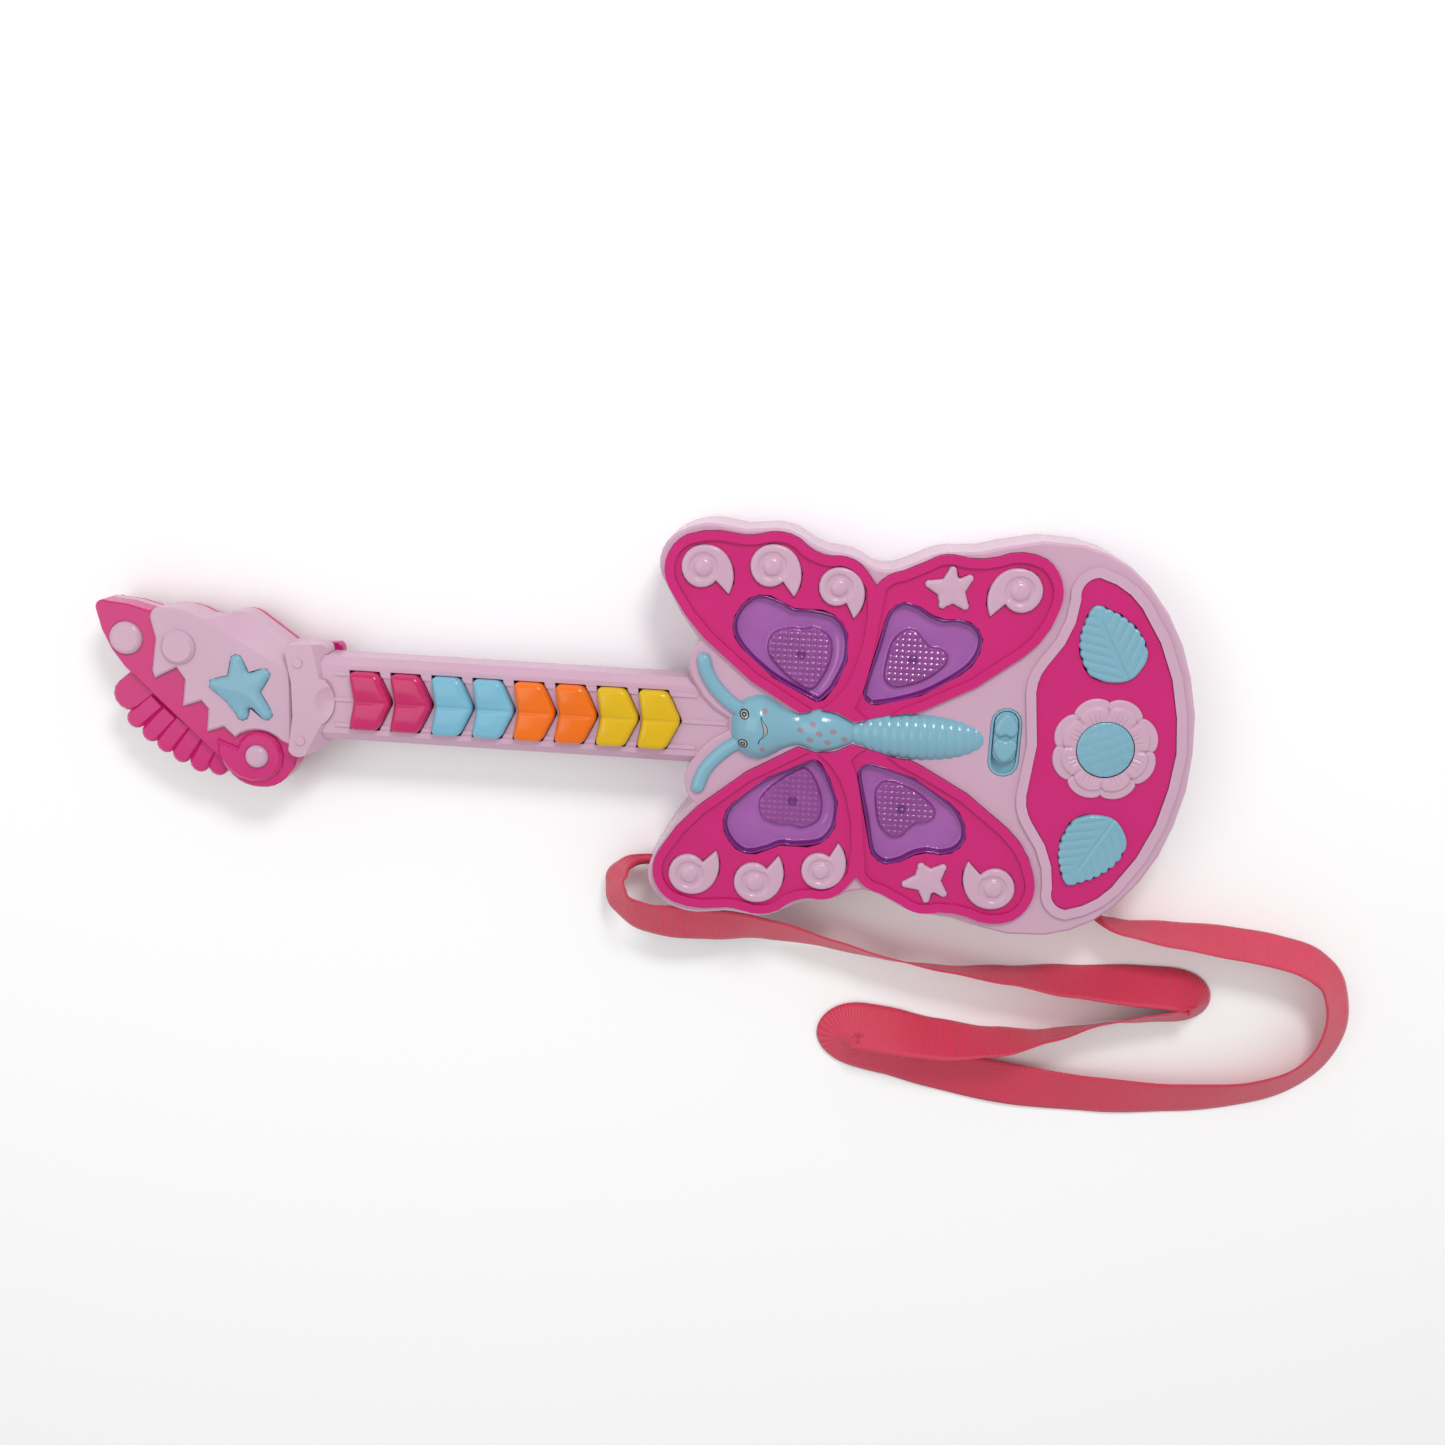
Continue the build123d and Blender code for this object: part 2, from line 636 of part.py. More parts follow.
def battery_contacts():
    """A plate at each end of the compartment, with a sprung tongue that meets each cell."""
    low, high = bay_ends()
    group = Part()
    for x, inward in ((low, 1), (high, -1)):
        edge = x + inward * contact_thick
        mid = cell_middle_height()
        plate = box(min(x, edge), max(x, edge), bay_half() - cell_room, mid - contact_half, mid + contact_half)
        for k in range(cell_count):
            y = (k - (cell_count - 1) / 2) * cell_pitch
            reach = edge + inward * (contact_spring - lap - (nub_length / 2 if (k % 2) == (inward > 0) else 0))
            plate += box(min(edge, reach), max(edge, reach), tongue_half, mid - tongue_half, mid + tongue_half, y)
        group += plate
    return group


def speaker():
    """Loudspeaker face down on the slots: rim, basket and magnet."""
    rim = disc(speaker_radius, wall, wall + speaker_rim)
    basket = button(speaker_radius - basket_inset, wall + speaker_rim, wall + basket_height, basket_bevel)
    magnet = disc(magnet_radius, wall + basket_height, wall + speaker_depth)
    return Pos(speaker_x, 0) * (rim + basket + magnet)


board_half = [(-80, 0), (-80, 24), (-112, 66), (-112, 82), (-66, 82.5), (-57, 79), (-40, 77), (-25, 70),
              (-10, 75), (20, 80), (54, 82), (74, 80), (95, 66), (108, 42), (113, 12)]


def main_board():
    outline = make_face(Polyline(*(board_half + mirrored(board_half)[:-1]), close=True))
    return block(outline, board_low, board_top)


def key_middles():
    middles = []
    for side in (1, -1):
        middles += [(x, side * y) for x, y, *rest in snail_places]
        middles += [(star_place[0], side * star_place[1]), leaf_middle(side)]
    return middles + [(flower_x, 0)]


def body_contact_pads():
    return Part() + [box(x - pad_side / 2, x + pad_side / 2, pad_side / 2, board_top, board_top + pad_height, y)
                     for x, y in key_middles()]


lamp_places = [(-60, 36), (-8, 37)]
lamp_side = 5.0
lamp_height = 3.0


def lamps():
    return Part() + [box(x - lamp_side / 2, x + lamp_side / 2, lamp_side / 2, board_top, board_top + lamp_height,
                         side * y) for x, y in lamp_places for side in (1, -1)]


# ---- inlays ----
def wing_panel_outline(side, turn=outline_turn):
    """Both wings of one side, with room for the butterfly's body along the middle."""
    outline = chain_face(wing_half + tail_wing[1:], turn) - butterfly_footprint()
    outline = outline.faces().sort_by(SortBy.AREA)[-1]
    return outline if side > 0 else mirror(outline, Plane.XZ)


def sided(outline, side):
    return outline if side > 0 else mirror(outline, Plane.XZ)


def wing_panel(side):
    """Magenta wings: a raised rim round each, key openings and lens openings."""
    panel = block(wing_panel_outline(side), seat, rim_top)
    fore = chain_face(wing_half + fore_divide[1:])
    tail = chain_face(tail_wing + tail_divide[1:])
    for wing in (fore, tail):
        panel -= block(sided(grown(wing, -rim_width), side), field, rim_top + past)
    for place in snail_places:
        panel -= block(grown(snail_at(place, side), key_gap), seat - past, rim_top + past)
    star = Pos(*star_place) * star_outline(star_tips, star_waist, star_round)
    panel -= block(sided(grown(star, key_gap), side), seat - 1, rim_top + 1)
    for lens in (fore_lens, tail_lens):
        panel -= block(sided(grown(chain_face(lens, small_turn), fit), side), seat - past, rim_top + past)
    return panel


def tail_field():
    """Magenta crescent with openings for the leaves and the flower's button."""
    panel = block(both_halves(tail_panel_half), seat, field)
    for side in (1, -1):
        panel -= block(grown(leaf_outline(side), key_gap), seat - past, field + past)
    return panel - Pos(flower_x, 0) * disc(flower_disc + key_gap, seat - past, field + past)


def lens(outline, heart, side):
    """Tinted tray under the wing with a raised heart on its floor."""
    floor = field - lens_drop
    edge = chain_face(outline, small_turn)
    tray = block(edge, floor - lens_wall, field) - block(grown(edge, -lens_wall), floor, field + past)
    whole = tray + block(chain_face(heart, small_turn), floor, floor + heart_rise)
    return whole if side > 0 else mirror(whole, Plane.XZ)


feeler_line = [(-86, 8), (-98.5, 17.5), (-105.3, 30.5)]


def feelers():
    """Antennae inlaid in the pads beside the neck."""
    group = Part()
    for side in (1, -1):
        line = chain_flats([(x, side * y) for x, y in feeler_line], small_turn)
        bar = block(band(line, feeler_width, True) - butterfly_footprint(), face, face + feeler_rise)
        group += top_bevel(bar, feeler_bevel)
    return group


def stadium(length, width):
    """Long round-ended face along Y."""
    half, straight = width / 2, length / 2 - width / 2
    side = [(half, -straight), (half, 0), (half, straight), (0, straight + half), (-half, straight)]
    return Pos(well_x, 0) * chain_face(side + [(-x, -y) for x, y in side[1:]], small_turn)


def well_room():
    return block(grown(stadium(well_length, well_width), fit), face - wall - past, face + past)


def switch_well():
    tray = block(stadium(well_length, well_width), face - well_depth, face)
    return tray - block(grown(stadium(well_length, well_width), -well_wall), face - well_depth + well_wall, face + past)


heart_half = [(0, 1.6), (2.6, 0.6), (5.0, 2.2), (6.1, 5.4), (4.6, 8.8), (2.8, 11.2), (0, 12.2)]


def heart_pad():
    """Half a heart's outline mirrored: the cleft at the middle, the rounded point outwards."""
    points = heart_half + [(-x, y) for x, y in reversed(heart_half)][1:]
    return chain_face(points, small_turn)


def knob_length():
    return well_length - 2 * (well_wall + key_gap) - switch_travel


def switch_knob():
    """Knob with two hearts, standing at the +Y end of its well."""
    room = well_length / 2 - well_wall - key_gap
    middle = room - knob_length() / 2
    low = face - well_depth + well_wall + key_gap
    knob = block(stadium(knob_length(), well_width - 2 * (well_wall + key_gap)), low, face + knob_base)
    for turn in (0, 180):
        knob += Pos(well_x, 0) * block(Rot(0, 0, turn) * heart_pad(), face + knob_base, face + knob_rise)
    return Pos(0, middle) * knob


# ---- neck ----
def neck_section(low, grow):
    """Half section of the neck above or below its parting line, grown by a clearance."""
    half, flat, keel = neck_half + grow, neck_flat + grow, neck_keel + grow
    top, back = neck_face + grow, neck_back - grow
    if low:
        side = neck_split - neck_side
        corners = [(-half, neck_split), (-half, side), (-keel, back), (keel, back), (half, side), (half, neck_split)]
    else:
        corners = [(-half, neck_split), (half, neck_split), (half, top - neck_shoulder), (flat, top),
                   (-flat, top), (-half, top - neck_shoulder)]
    return make_face(Polyline(*corners, close=True))


def along_neck(section, start, end):
    """A section swept straight along the neck."""
    plane = Plane(origin=(start, 0, 0), x_dir=(0, 1, 0), z_dir=(1, 0, 0))
    return extrude(plane * section, amount=end - start)


def neck_form(grow):
    ends = (neck_start, neck_end + grow)
    return along_neck(neck_section(True, grow), *ends) + along_neck(neck_section(False, grow), *ends)


def neck_front():
    """Face of the neck with three rails and the openings of its keys."""
    form = along_neck(neck_section(False, 0), neck_start, neck_end)
    inner = grown(neck_section(False, 0), -neck_wall)
    form -= along_neck(inner, neck_start + neck_wall, neck_end - neck_wall)
    form -= box(neck_start + neck_wall, neck_end - neck_wall, neck_half - neck_wall, neck_split - past, neck_split + board_step)
    for y in (-rail_pitch, 0, rail_pitch):
        form += box(neck_start + rail_start, rail_end(y), rail_width / 2, neck_face, neck_face + rail_height, y)
    for k in range(neck_keys):
        hole = Pos(neck_key_first + k * neck_key_pitch) * grown(neck_key_outline(), key_gap)
        form -= block(hole, neck_face - neck_wall - past, neck_face + past)
    return form


def rail_end(y):
    return pad_side_half[0][0] - past if y == 0 else rail_stop


def neck_rear():
    """Back of the neck, with a ledge inside for the circuit board."""
    form = along_neck(neck_section(True, 0), neck_start, neck_end)
    inner = grown(neck_section(True, 0), -neck_wall)
    form -= along_neck(inner, neck_start + neck_wall, neck_end - neck_wall)
    start, end = neck_start + neck_wall, neck_end - neck_wall
    form -= box(start, end, neck_half - neck_wall, neck_board_low, neck_split + past)
    return form - box(start, end, neck_half - 2 * neck_wall, neck_split - neck_side, neck_split + past)


def neck_board():
    start, end = neck_start + neck_wall + board_start, neck_end - neck_wall - past
    return box(start, end, neck_half - neck_wall - key_gap, neck_board_low, neck_split)


def neck_contact_pads():
    group = Part()
    for k in range(neck_keys):
        x = neck_key_first + k * neck_key_pitch + (neck_key_notch + neck_key_square) / 2
        group += box(x - pad_side / 2, x + pad_side / 2, pad_side / 2, neck_split, neck_split + pad_height)
    return group


collar_line = [
    (-306.6, -26.6), (-304.2, 0), (-308, 23.3), (-307, 25.2), (-304.3, 25.9), (-297, 26.4), (-291.5, 26),
    (-289.6, 24.4), (-289, 19.4), (-289, 14), (-288.4, 9.5), (-283.6, -1.3), (-288.4, -12.1), (-288.6, -17),
    (-287.7, -22.2), (-292, -26.5), (-299.5, -29.4), (-303.6, -29.6), (-306.6, -26.6),
]
cheek_creases = [(-294.4, 25.1, -291.7, 12.4), (-297.6, -27.2, -291.2, -14.9)]
cheek_inner = (9.5, -12.1)  # where the cheeks meet the nose
cheek_slope = 54.0
nose_dish = (-286, -1.3, 22.0, 1.4)  # x, y, radius and depth of the dished nose
rivets = [(-301.3, 16.9), (-300.6, -21.6)]
rivet_radius = 2.3
rivet_rise = 0.8


def collar_room():
    """Room for the collar in the headstock."""
    return block(grown(chain_face(collar_line), neck_fit), collar_low - neck_fit, plate_top + past)


def nut_collar():
    """Saddle over the end of the neck: sloping cheeks, a dished nose and two rivets."""
    top = neck_face + collar_rise
    form = block(chain_face(collar_line), collar_low, top)
    for (xa, ya, xb, yb), inner in zip(cheek_creases, cheek_inner):
        side = 1 if ya > 0 else -1
        crease = Plane(origin=(xb, yb, top), x_dir=(xb - xa, yb - ya, 0), z_dir=(0, 0, 1))
        wedge = Rot(-side * cheek_slope, 0, 0) * Box(60, 40, 30, align=(Align.CENTER, Align.CENTER, Align.MIN))
        beside = box(-320, -270, 20, collar_low, top + 1, inner + side * 20)
        form -= crease * wedge & beside
    x, y, radius, depth = nose_dish
    form -= Pos(x, y, top + radius - depth) * Sphere(radius)
    for x, y in rivets:
        form += post(x, y, rivet_radius, top - rivet_rise, top + rivet_rise)
    return form - neck_form(neck_fit)


# ---- headstock ----
head_outline_points = [
    (-306, -25.5), (-304.5, -33), (-308, -40), (-314, -46), (-323, -48.2), (-333, -46), (-341.5, -36.5),
    (-366, -14.5), (-390, 8.5), (-399, 22), (-403.5, 36.5), (-402.5, 40), (-398, 40.8), (-388, 40),
    (-377, 37.2), (-373.5, 38.3), (-368, 39.5), (-361, 39.3), (-350, 35.5), (-344, 35.6), (-338, 37.8),
    (-331, 38.8), (-325, 35.8), (-315.5, 29), (-306, 22.5),
]
plate_points = [
    (-375.5, 34), (-373, 24), (-375.2, 8), (-374, 4.3), (-363, 10.2), (-359, 4.5), (-360.4, -9), (-351, -5.6),
    (-347.6, -9.5), (-348.6, -21), (-340, -18), (-334.5, -23),
]
plate_top_points = [
    (-306, 22.5), (-315.5, 29), (-325, 35.8), (-331, 38.8), (-338, 37.8), (-344, 35.6), (-350, 35.5),
    (-361, 39.3), (-368, 39.5), (-373.5, 38.3), (-375.5, 34),
]
spiral_place = (-323.5, -31.8, 12.6, 206)
head_dome = (-361.5, 20.5, 8.5)
head_stud = (-388.5, 23, 8.3)
spiral_stud_radius = 5.8
dome_rise = 2.4
# feathers: x, y and radius of the round end, and the direction of the root
lobes = [(-390, -6.2, 8.2, 40), (-387.1, -18.4, 4.9, 42), (-379.7, -24.9, 4.9, 47), (-372.3, -30, 4.9, 51),
         (-364.4, -34.7, 4.9, 55), (-355.4, -38.8, 5.0, 60), (-346, -40, 5.0, 66)]
lobe_root = 16.0          # from the round end into the horn
lobe_drop = 3.6           # below the horn's face
lobe_bevel = 1.5


def spiral_outline():
    x, y, size, turn = spiral_place
    return Pos(x, y) * (Rot(0, 0, turn) * snail_outline(size))


def head_outline(turn=outline_turn):
    return chain_face(head_outline_points, turn)


def plate_outline():
    """Front plate: smooth upper edge, torn lower edge and a bay round the spiral."""
    bay = [plate_points[-1], (-323, -18.5), (-311, -23.5)]
    return closed_face(chain_flats(plate_top_points) + plate_points[1:-1] + chain_flats(bay) + [(-306, -25.5)])


heel_line = [(-308, 22), (-288, 24), (-286, 22), (-286, -22), (-288, -24), (-308, -24)]


def head_rear():
    """Magenta back cover; it reaches under the collar and the end of the neck."""
    outline = grown(head_outline(), -head_inset) + make_face(Polyline(*heel_line, close=True))
    form = block(outline, head_back, head_split) - neck_form(neck_fit)
    inner = block(grown(head_outline(small_turn), -head_inset - head_wall), head_back + head_wall, head_split + past)
    return form - inner


def head_front():
    """Light casing: middle layer and the raised plate with the torn edge, hollow from the back."""
    form = block(head_outline(), head_split, core_low)
    plate = top_bevel(block(plate_outline(), core_low - lap, plate_top), plate_bevel)
    slope = Plane(origin=(-350.2, 36, plate_top), x_dir=(43.2, -24.4, 0), z_dir=(1.1, 1.95, 3.8))
    shaved = slope * Box(150, 60, 40, align=(Align.CENTER, Align.CENTER, Align.MIN))
    form += plate - shaved
    form -= block(grown(head_outline(small_turn), -head_wall), head_split - past, core_low - head_wall)
    form -= block(grown(plate_outline(), -head_wall), head_split - past, inlay_low - head_wall)
    form += Pos(*head_dome[:2]) * button(head_dome[2], plate_top - lap, plate_top + dome_rise, stud_bevel)
    form -= block(grown(star_inlay_outline(), fit), inlay_low, plate_top + past)
    return form - neck_form(neck_fit) - collar_room()


def head_core():
    """Magenta horn, feather lobes and snail beside the light plate."""
    room = grown(plate_outline(), fit)
    horn = top_bevel(block(head_outline(), core_low, core_top), horn_bevel)
    spiral = top_bevel(block(spiral_outline(), core_low, plate_top), stud_bevel)
    plate = block(room, 0, plate_top + past)
    form = (horn - plate) + (spiral + feather_lobes() - plate)
    for x, y, radius in (head_stud, (spiral_place[0], spiral_place[1], spiral_stud_radius)):
        top = core_top if radius == head_stud[2] else plate_top
        form -= Pos(x, y) * disc(radius + fit, top - stud_sink, top + past)
    return form - neck_form(neck_fit) - collar_room()


def feather_lobes():
    """Rounded feathers along the lower edge of the horn."""
    group = Part()
    for x, y, radius, heading in lobes:
        end = arc_flats((0, radius), (-radius, 0), (0, -radius), small_turn)
        outline = closed_face([(lobe_root, radius), (0, radius)] + end + [(lobe_root, -radius)])
        lobe = top_bevel(block(outline, core_low, core_top - lobe_drop), lobe_bevel)
        group += Pos(x, y) * (Rot(0, 0, heading) * lobe)
    return group


def head_studs():
    group = Part()
    for x, y, radius in (head_stud, (spiral_place[0], spiral_place[1], spiral_stud_radius)):
        top = core_top if radius == head_stud[2] else plate_top
        group += Pos(x, y) * button(radius, top - stud_sink, top + dome_rise, stud_bevel)
    return group


inlay_tips = [(-2.6, 17.5), (-16.3, 2.3), (0.3, -15.2), (14.6, -13.4), (14.0, 10.2)]
inlay_place = (-330.5, 1.2)
inlay_waist = 9.6
inlay_round = 3.2


def star_inlay_outline():
    return Pos(*inlay_place) * star_outline(inlay_tips, inlay_waist, inlay_round)


def head_star():
    return top_bevel(block(star_inlay_outline(), inlay_low, plate_top + inlay_rise), plate_bevel)


# ---- ribbon ----
tie_places = [(-127.4, -77.0, 180.0), (87.6, -84.6, -62.0)]
tie_height = 12.5
route = [
    (-133, -77), (-142, -79.5), (-149, -89), (-144, -105), (-125, -113), (-97, -111.5), (-62, -112.5),
    (-28, -117.5), (8, -126), (50, -128), (98, -131), (136, -127), (156, -131), (154, -145), (133, -147.5),
    (104, -149), (80, -160), (50, -163), (20, -160), (-8, -155), (-26, -157.5), (-32, -168), (-23, -177.5),
    (-5, -178), (22, -182), (60, -190), (104, -192.5), (150, -191), (192, -181), (217, -162), (226, -137),
    (218, -113), (196, -104), (163, -101.5), (128, -101), (105, -99), (93, -93.5),
]


def rounded_route():
    """Straight runs joined by arcs, each as large as its runs allow; returns the flats and the length."""
    points = [Vector(*p) for p in route]
    flats, radii, length, last = [route[0]], [], 0, points[0]
    for a, b, c in zip(points, points[1:], points[2:]):
        reach = ribbon_reach * min((b - a).length, (c - b).length)
        radii.append(reach / tan(radians((b - a).get_angle(c - b)) / 2))
        start, end = b + (a - b).normalized() * reach, b + (c - b).normalized() * reach
        arc = TangentArc(start, end, tangent=b - a)
        flats += [(start.X, start.Y)] + arc_flats(*(tuple(arc @ t)[:2] for t in (0, 0.5, 1)), ribbon_turn)
        length += (start - last).length + arc.length
        last = end
    length += (points[-1] - last).length
    print("ribbon bend radii in mm:", " ".join(f"{r:.0f}" for r in radii), "length:", round(length))
    return flats + [route[-1]], length


def tie_rod(place, radius, inward, outward):
    """A round rod through the shell's wall at a tie, between two distances from the wall."""
    x, y, heading = place
    rod = Rot(0, 90, 0) * disc(radius, -inward, outward, post_sides)
    return Pos(x, y, tie_height) * (Rot(0, 0, heading) * rod)


def strap():
    """Flat ribbon on edge, with its ends gathered, led through the shell and knotted inside."""
    flats, length = rounded_route()
    ribbon = block(band(flats, ribbon_thick), 0, ribbon_width)
    print("ribbon volume over section times length:", round(ribbon.volume / (length * ribbon_thick * ribbon_width), 3))
    for place, end in zip(tie_places, (route[0], route[-1])):
        gap = hypot(end[0] - place[0], end[1] - place[1])
        ribbon += tie_rod(place, tie_radius, wall + tie_gap, gap + 1)
        ribbon += tie_rod(place, knot_radius, wall + tie_gap + knot_length, -wall - tie_gap)
    return ribbon


# ---- write the parts ----
def build():
    parts = {
        "front_shell": front_shell(),
        "rear_shell": rear_shell(),
        "neck_front": neck_front(),
        "neck_rear": neck_rear(),
        "nut_collar": nut_collar(),
        "head_front": head_front(),
        "head_core": head_core(),
        "head_rear": head_rear(),
        "head_star": head_star(),
        "head_studs": head_studs(),
        "wing_panel_upper": wing_panel(1),
        "wing_panel_lower": wing_panel(-1),
        "tail_panel": tail_field(),
        "butterfly_body": butterfly_body(),
        "butterfly_feelers": feelers(),
        "flower_petals": flower_petals(),
        "flower_button": flower_button(),
        "switch_well": switch_well(),
        "switch_knob": switch_knob(),
        "main_board": main_board(),
        "body_contact_pads": body_contact_pads(),
        "lamps": lamps(),
        "neck_board": neck_board(),
        "neck_contact_pads": neck_contact_pads(),
        "batteries": batteries(),
        "battery_contacts": battery_contacts(),
        "battery_door": battery_door(),
        "speaker": speaker(),
        "strap": strap(),
    }
    for side, name in ((1, "upper"), (-1, "lower")):
        parts[f"fore_lens_{name}"] = lens(fore_lens, fore_heart, side)
        parts[f"tail_lens_{name}"] = lens(tail_lens, tail_heart, side)
        parts[f"star_key_{name}"] = star_key(side)
        parts[f"leaf_button_{name}"] = leaf_button(side)
        for k, place in enumerate(snail_places):
            parts[f"snail_key_{name}_{k + 1}"] = snail_key(place, side)
    for k in range(neck_keys):
        parts[f"neck_key_{k + 1}"] = neck_key(k)
    return parts


os.makedirs("parts", exist_ok=True)
for name, solid in build().items():
    export_step(solid, f"parts/{name}.step")
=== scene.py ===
import bmesh
import bpy
import json
import math
import numpy as np
from mathutils import Matrix, Vector
from mathutils.geometry import delaunay_2d_cdt

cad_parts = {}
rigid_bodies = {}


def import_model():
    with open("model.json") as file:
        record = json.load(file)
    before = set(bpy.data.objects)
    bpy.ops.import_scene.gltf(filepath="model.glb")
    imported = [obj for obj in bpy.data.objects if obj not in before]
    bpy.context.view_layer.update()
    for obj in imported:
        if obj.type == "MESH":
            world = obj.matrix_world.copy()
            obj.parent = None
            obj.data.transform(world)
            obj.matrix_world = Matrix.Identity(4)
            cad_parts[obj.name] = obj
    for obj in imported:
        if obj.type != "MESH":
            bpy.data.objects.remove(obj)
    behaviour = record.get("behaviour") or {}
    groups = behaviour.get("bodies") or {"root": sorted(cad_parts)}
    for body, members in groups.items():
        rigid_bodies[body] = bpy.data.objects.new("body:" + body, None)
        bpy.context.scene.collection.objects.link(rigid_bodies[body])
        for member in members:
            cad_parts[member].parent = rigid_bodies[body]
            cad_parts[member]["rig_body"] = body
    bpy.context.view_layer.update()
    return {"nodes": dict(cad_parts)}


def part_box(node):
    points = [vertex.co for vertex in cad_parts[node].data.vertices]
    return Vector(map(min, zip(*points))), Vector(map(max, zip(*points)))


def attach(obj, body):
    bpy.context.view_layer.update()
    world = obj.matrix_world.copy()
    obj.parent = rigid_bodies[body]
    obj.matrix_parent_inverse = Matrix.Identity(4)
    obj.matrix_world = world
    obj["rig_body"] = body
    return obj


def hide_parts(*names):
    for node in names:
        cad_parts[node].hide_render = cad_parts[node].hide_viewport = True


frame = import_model()
mm = 0.001
fieldRise = 0.6  # how far the panels stand above the face, in mm
keyFoot = 1.4  # how far the walls of a button reach below the face
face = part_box("tail_panel")[1].z / mm - fieldRise
print("frame loaded, nodes:", len(frame["nodes"]))


# ---- camera ----
cameraView = {"lens": 38.72, "sensor": 36.0, "tilt": 13.04, "yaw": -4.13, "roll": -2.77,
              "distance": 0.740, "rise": 0.9927, "aim": -95}


def makeCamera():
    turn = (Matrix.Rotation(math.radians(cameraView["tilt"]), 3, "X")
            @ Matrix.Rotation(math.radians(cameraView["yaw"]), 3, "Y")
            @ Matrix.Rotation(math.radians(cameraView["roll"]), 3, "Z")).transposed()
    data = bpy.data.cameras.new("studioCamera")
    data.lens = cameraView["lens"]
    data.sensor_width = cameraView["sensor"]
    data.clip_start = 0.01
    obj = bpy.data.objects.new("studioCamera", data)
    aimed = Vector((cameraView["aim"] * mm, 0, face * mm))
    place = turn @ Vector((0, cameraView["rise"] * mm, cameraView["distance"])) + aimed
    obj.matrix_world = Matrix.Translation(place) @ turn.to_4x4()
    bpy.context.scene.collection.objects.link(obj)
    bpy.context.scene.camera = obj


makeCamera()
print("camera placed")


# ---- material helpers ----
def newMaterial(name):
    material = bpy.data.materials.new(name)
    material.use_nodes = True
    nodes = material.node_tree.nodes
    nodes.clear()
    shader = nodes.new("ShaderNodeBsdfPrincipled")
    output = nodes.new("ShaderNodeOutputMaterial")
    material.node_tree.links.new(shader.outputs["BSDF"], output.inputs["Surface"])
    return material, shader


def addNode(material, kind, **values):
    node = material.node_tree.nodes.new(kind)
    for key, value in values.items():
        if key in node.inputs:
            node.inputs[key].default_value = value
        else:
            setattr(node, key, value)
    return node


def link(material, source, target):
    material.node_tree.links.new(source, target)


def rangeOf(material, source, low, high):
    node = addNode(material, "ShaderNodeMapRange")
    node.inputs["To Min"].default_value = low
    node.inputs["To Max"].default_value = high
    link(material, source, node.inputs["Value"])
    return node.outputs["Result"]


def mixOf(material, factor, colorA, colorB):
    node = addNode(material, "ShaderNodeMix", data_type="RGBA")
    link(material, factor, node.inputs["Factor"])
    node.inputs[6].default_value = (*colorA, 1)
    node.inputs[7].default_value = (*colorB, 1)
    return node.outputs[2]


def srgb(r, g, b):
    def linear(v):
        v /= 255
        return v / 12.92 if v <= 0.04045 else ((v + 0.055) / 1.055) ** 2.4
    return tuple(linear(v) for v in (r, g, b))


def objectNoise(material, scale, detail=2.0):
    place = addNode(material, "ShaderNodeTexCoord")
    noise = addNode(material, "ShaderNodeTexNoise", Scale=scale, Detail=detail)
    link(material, place.outputs["Object"], noise.inputs["Vector"])
    return noise.outputs["Fac"]


def bumpFrom(material, shader, height, strength, distance):
    bump = addNode(material, "ShaderNodeBump", Strength=strength, Distance=distance)
    link(material, height, bump.inputs["Height"])
    link(material, bump.outputs["Normal"], shader.inputs["Normal"])


# ---- moulded plastics ----
plastics = {
    "palePink": {"color": srgb(193, 156, 177), "rough": 0.2, "glow": 0.1},
    "magenta": {"color": srgb(190, 26, 108), "rough": 0.16, "glow": 0.03},
    "skyBlue": {"color": srgb(118, 164, 182), "rough": 0.17, "glow": 0.08},
    "keyOrange": {"color": srgb(224, 104, 0), "rough": 0.15, "glow": 0.06},
    "keyYellow": {"color": srgb(208, 168, 0), "rough": 0.15, "glow": 0.06},
    "keyPink": {"color": srgb(184, 28, 92), "rough": 0.15, "glow": 0.03},
    "keyBlue": {"color": srgb(112, 170, 194), "rough": 0.15, "glow": 0.06},
}


plasticGrain = {"flow": 28.0, "grain": 700.0, "depth": 0.00003, "specular": 0.4}


def mouldedPlastic(name, color, rough, glow):
    material, shader = newMaterial(name)
    flow = objectNoise(material, plasticGrain["flow"])
    darker = tuple(0.95 * c for c in color)
    lighter = tuple(min(1, 1.04 * c + 0.002) for c in color)
    link(material, mixOf(material, flow, darker, lighter), shader.inputs["Base Color"])
    link(material, rangeOf(material, flow, rough - 0.04, rough + 0.05), shader.inputs["Roughness"])
    bumpFrom(material, shader, objectNoise(material, plasticGrain["grain"], 3.0), 0.1, plasticGrain["depth"])
    shader.inputs["Specular IOR Level"].default_value = plasticGrain["specular"]
    shader.inputs["Subsurface Weight"].default_value = glow
    shader.inputs["Subsurface Radius"].default_value = (0.004, 0.003, 0.003)
    shader.inputs["Subsurface Scale"].default_value = 0.5
    return material


finish = {name: mouldedPlastic(name, **values) for name, values in plastics.items()}


def tinted(name, light, deep, rough, clear):
    material, shader = newMaterial(name)
    cloud = objectNoise(material, 60.0, 3.0)
    link(material, mixOf(material, cloud, deep, light), shader.inputs["Base Color"])
    link(material, rangeOf(material, cloud, rough, rough + 0.07), shader.inputs["Roughness"])
    bumpFrom(material, shader, cloud, 0.08, 0.0002)
    shader.inputs["Transmission Weight"].default_value = clear
    shader.inputs["Coat Weight"].default_value = 0.3
    shader.inputs["Coat Roughness"].default_value = 0.03
    return material


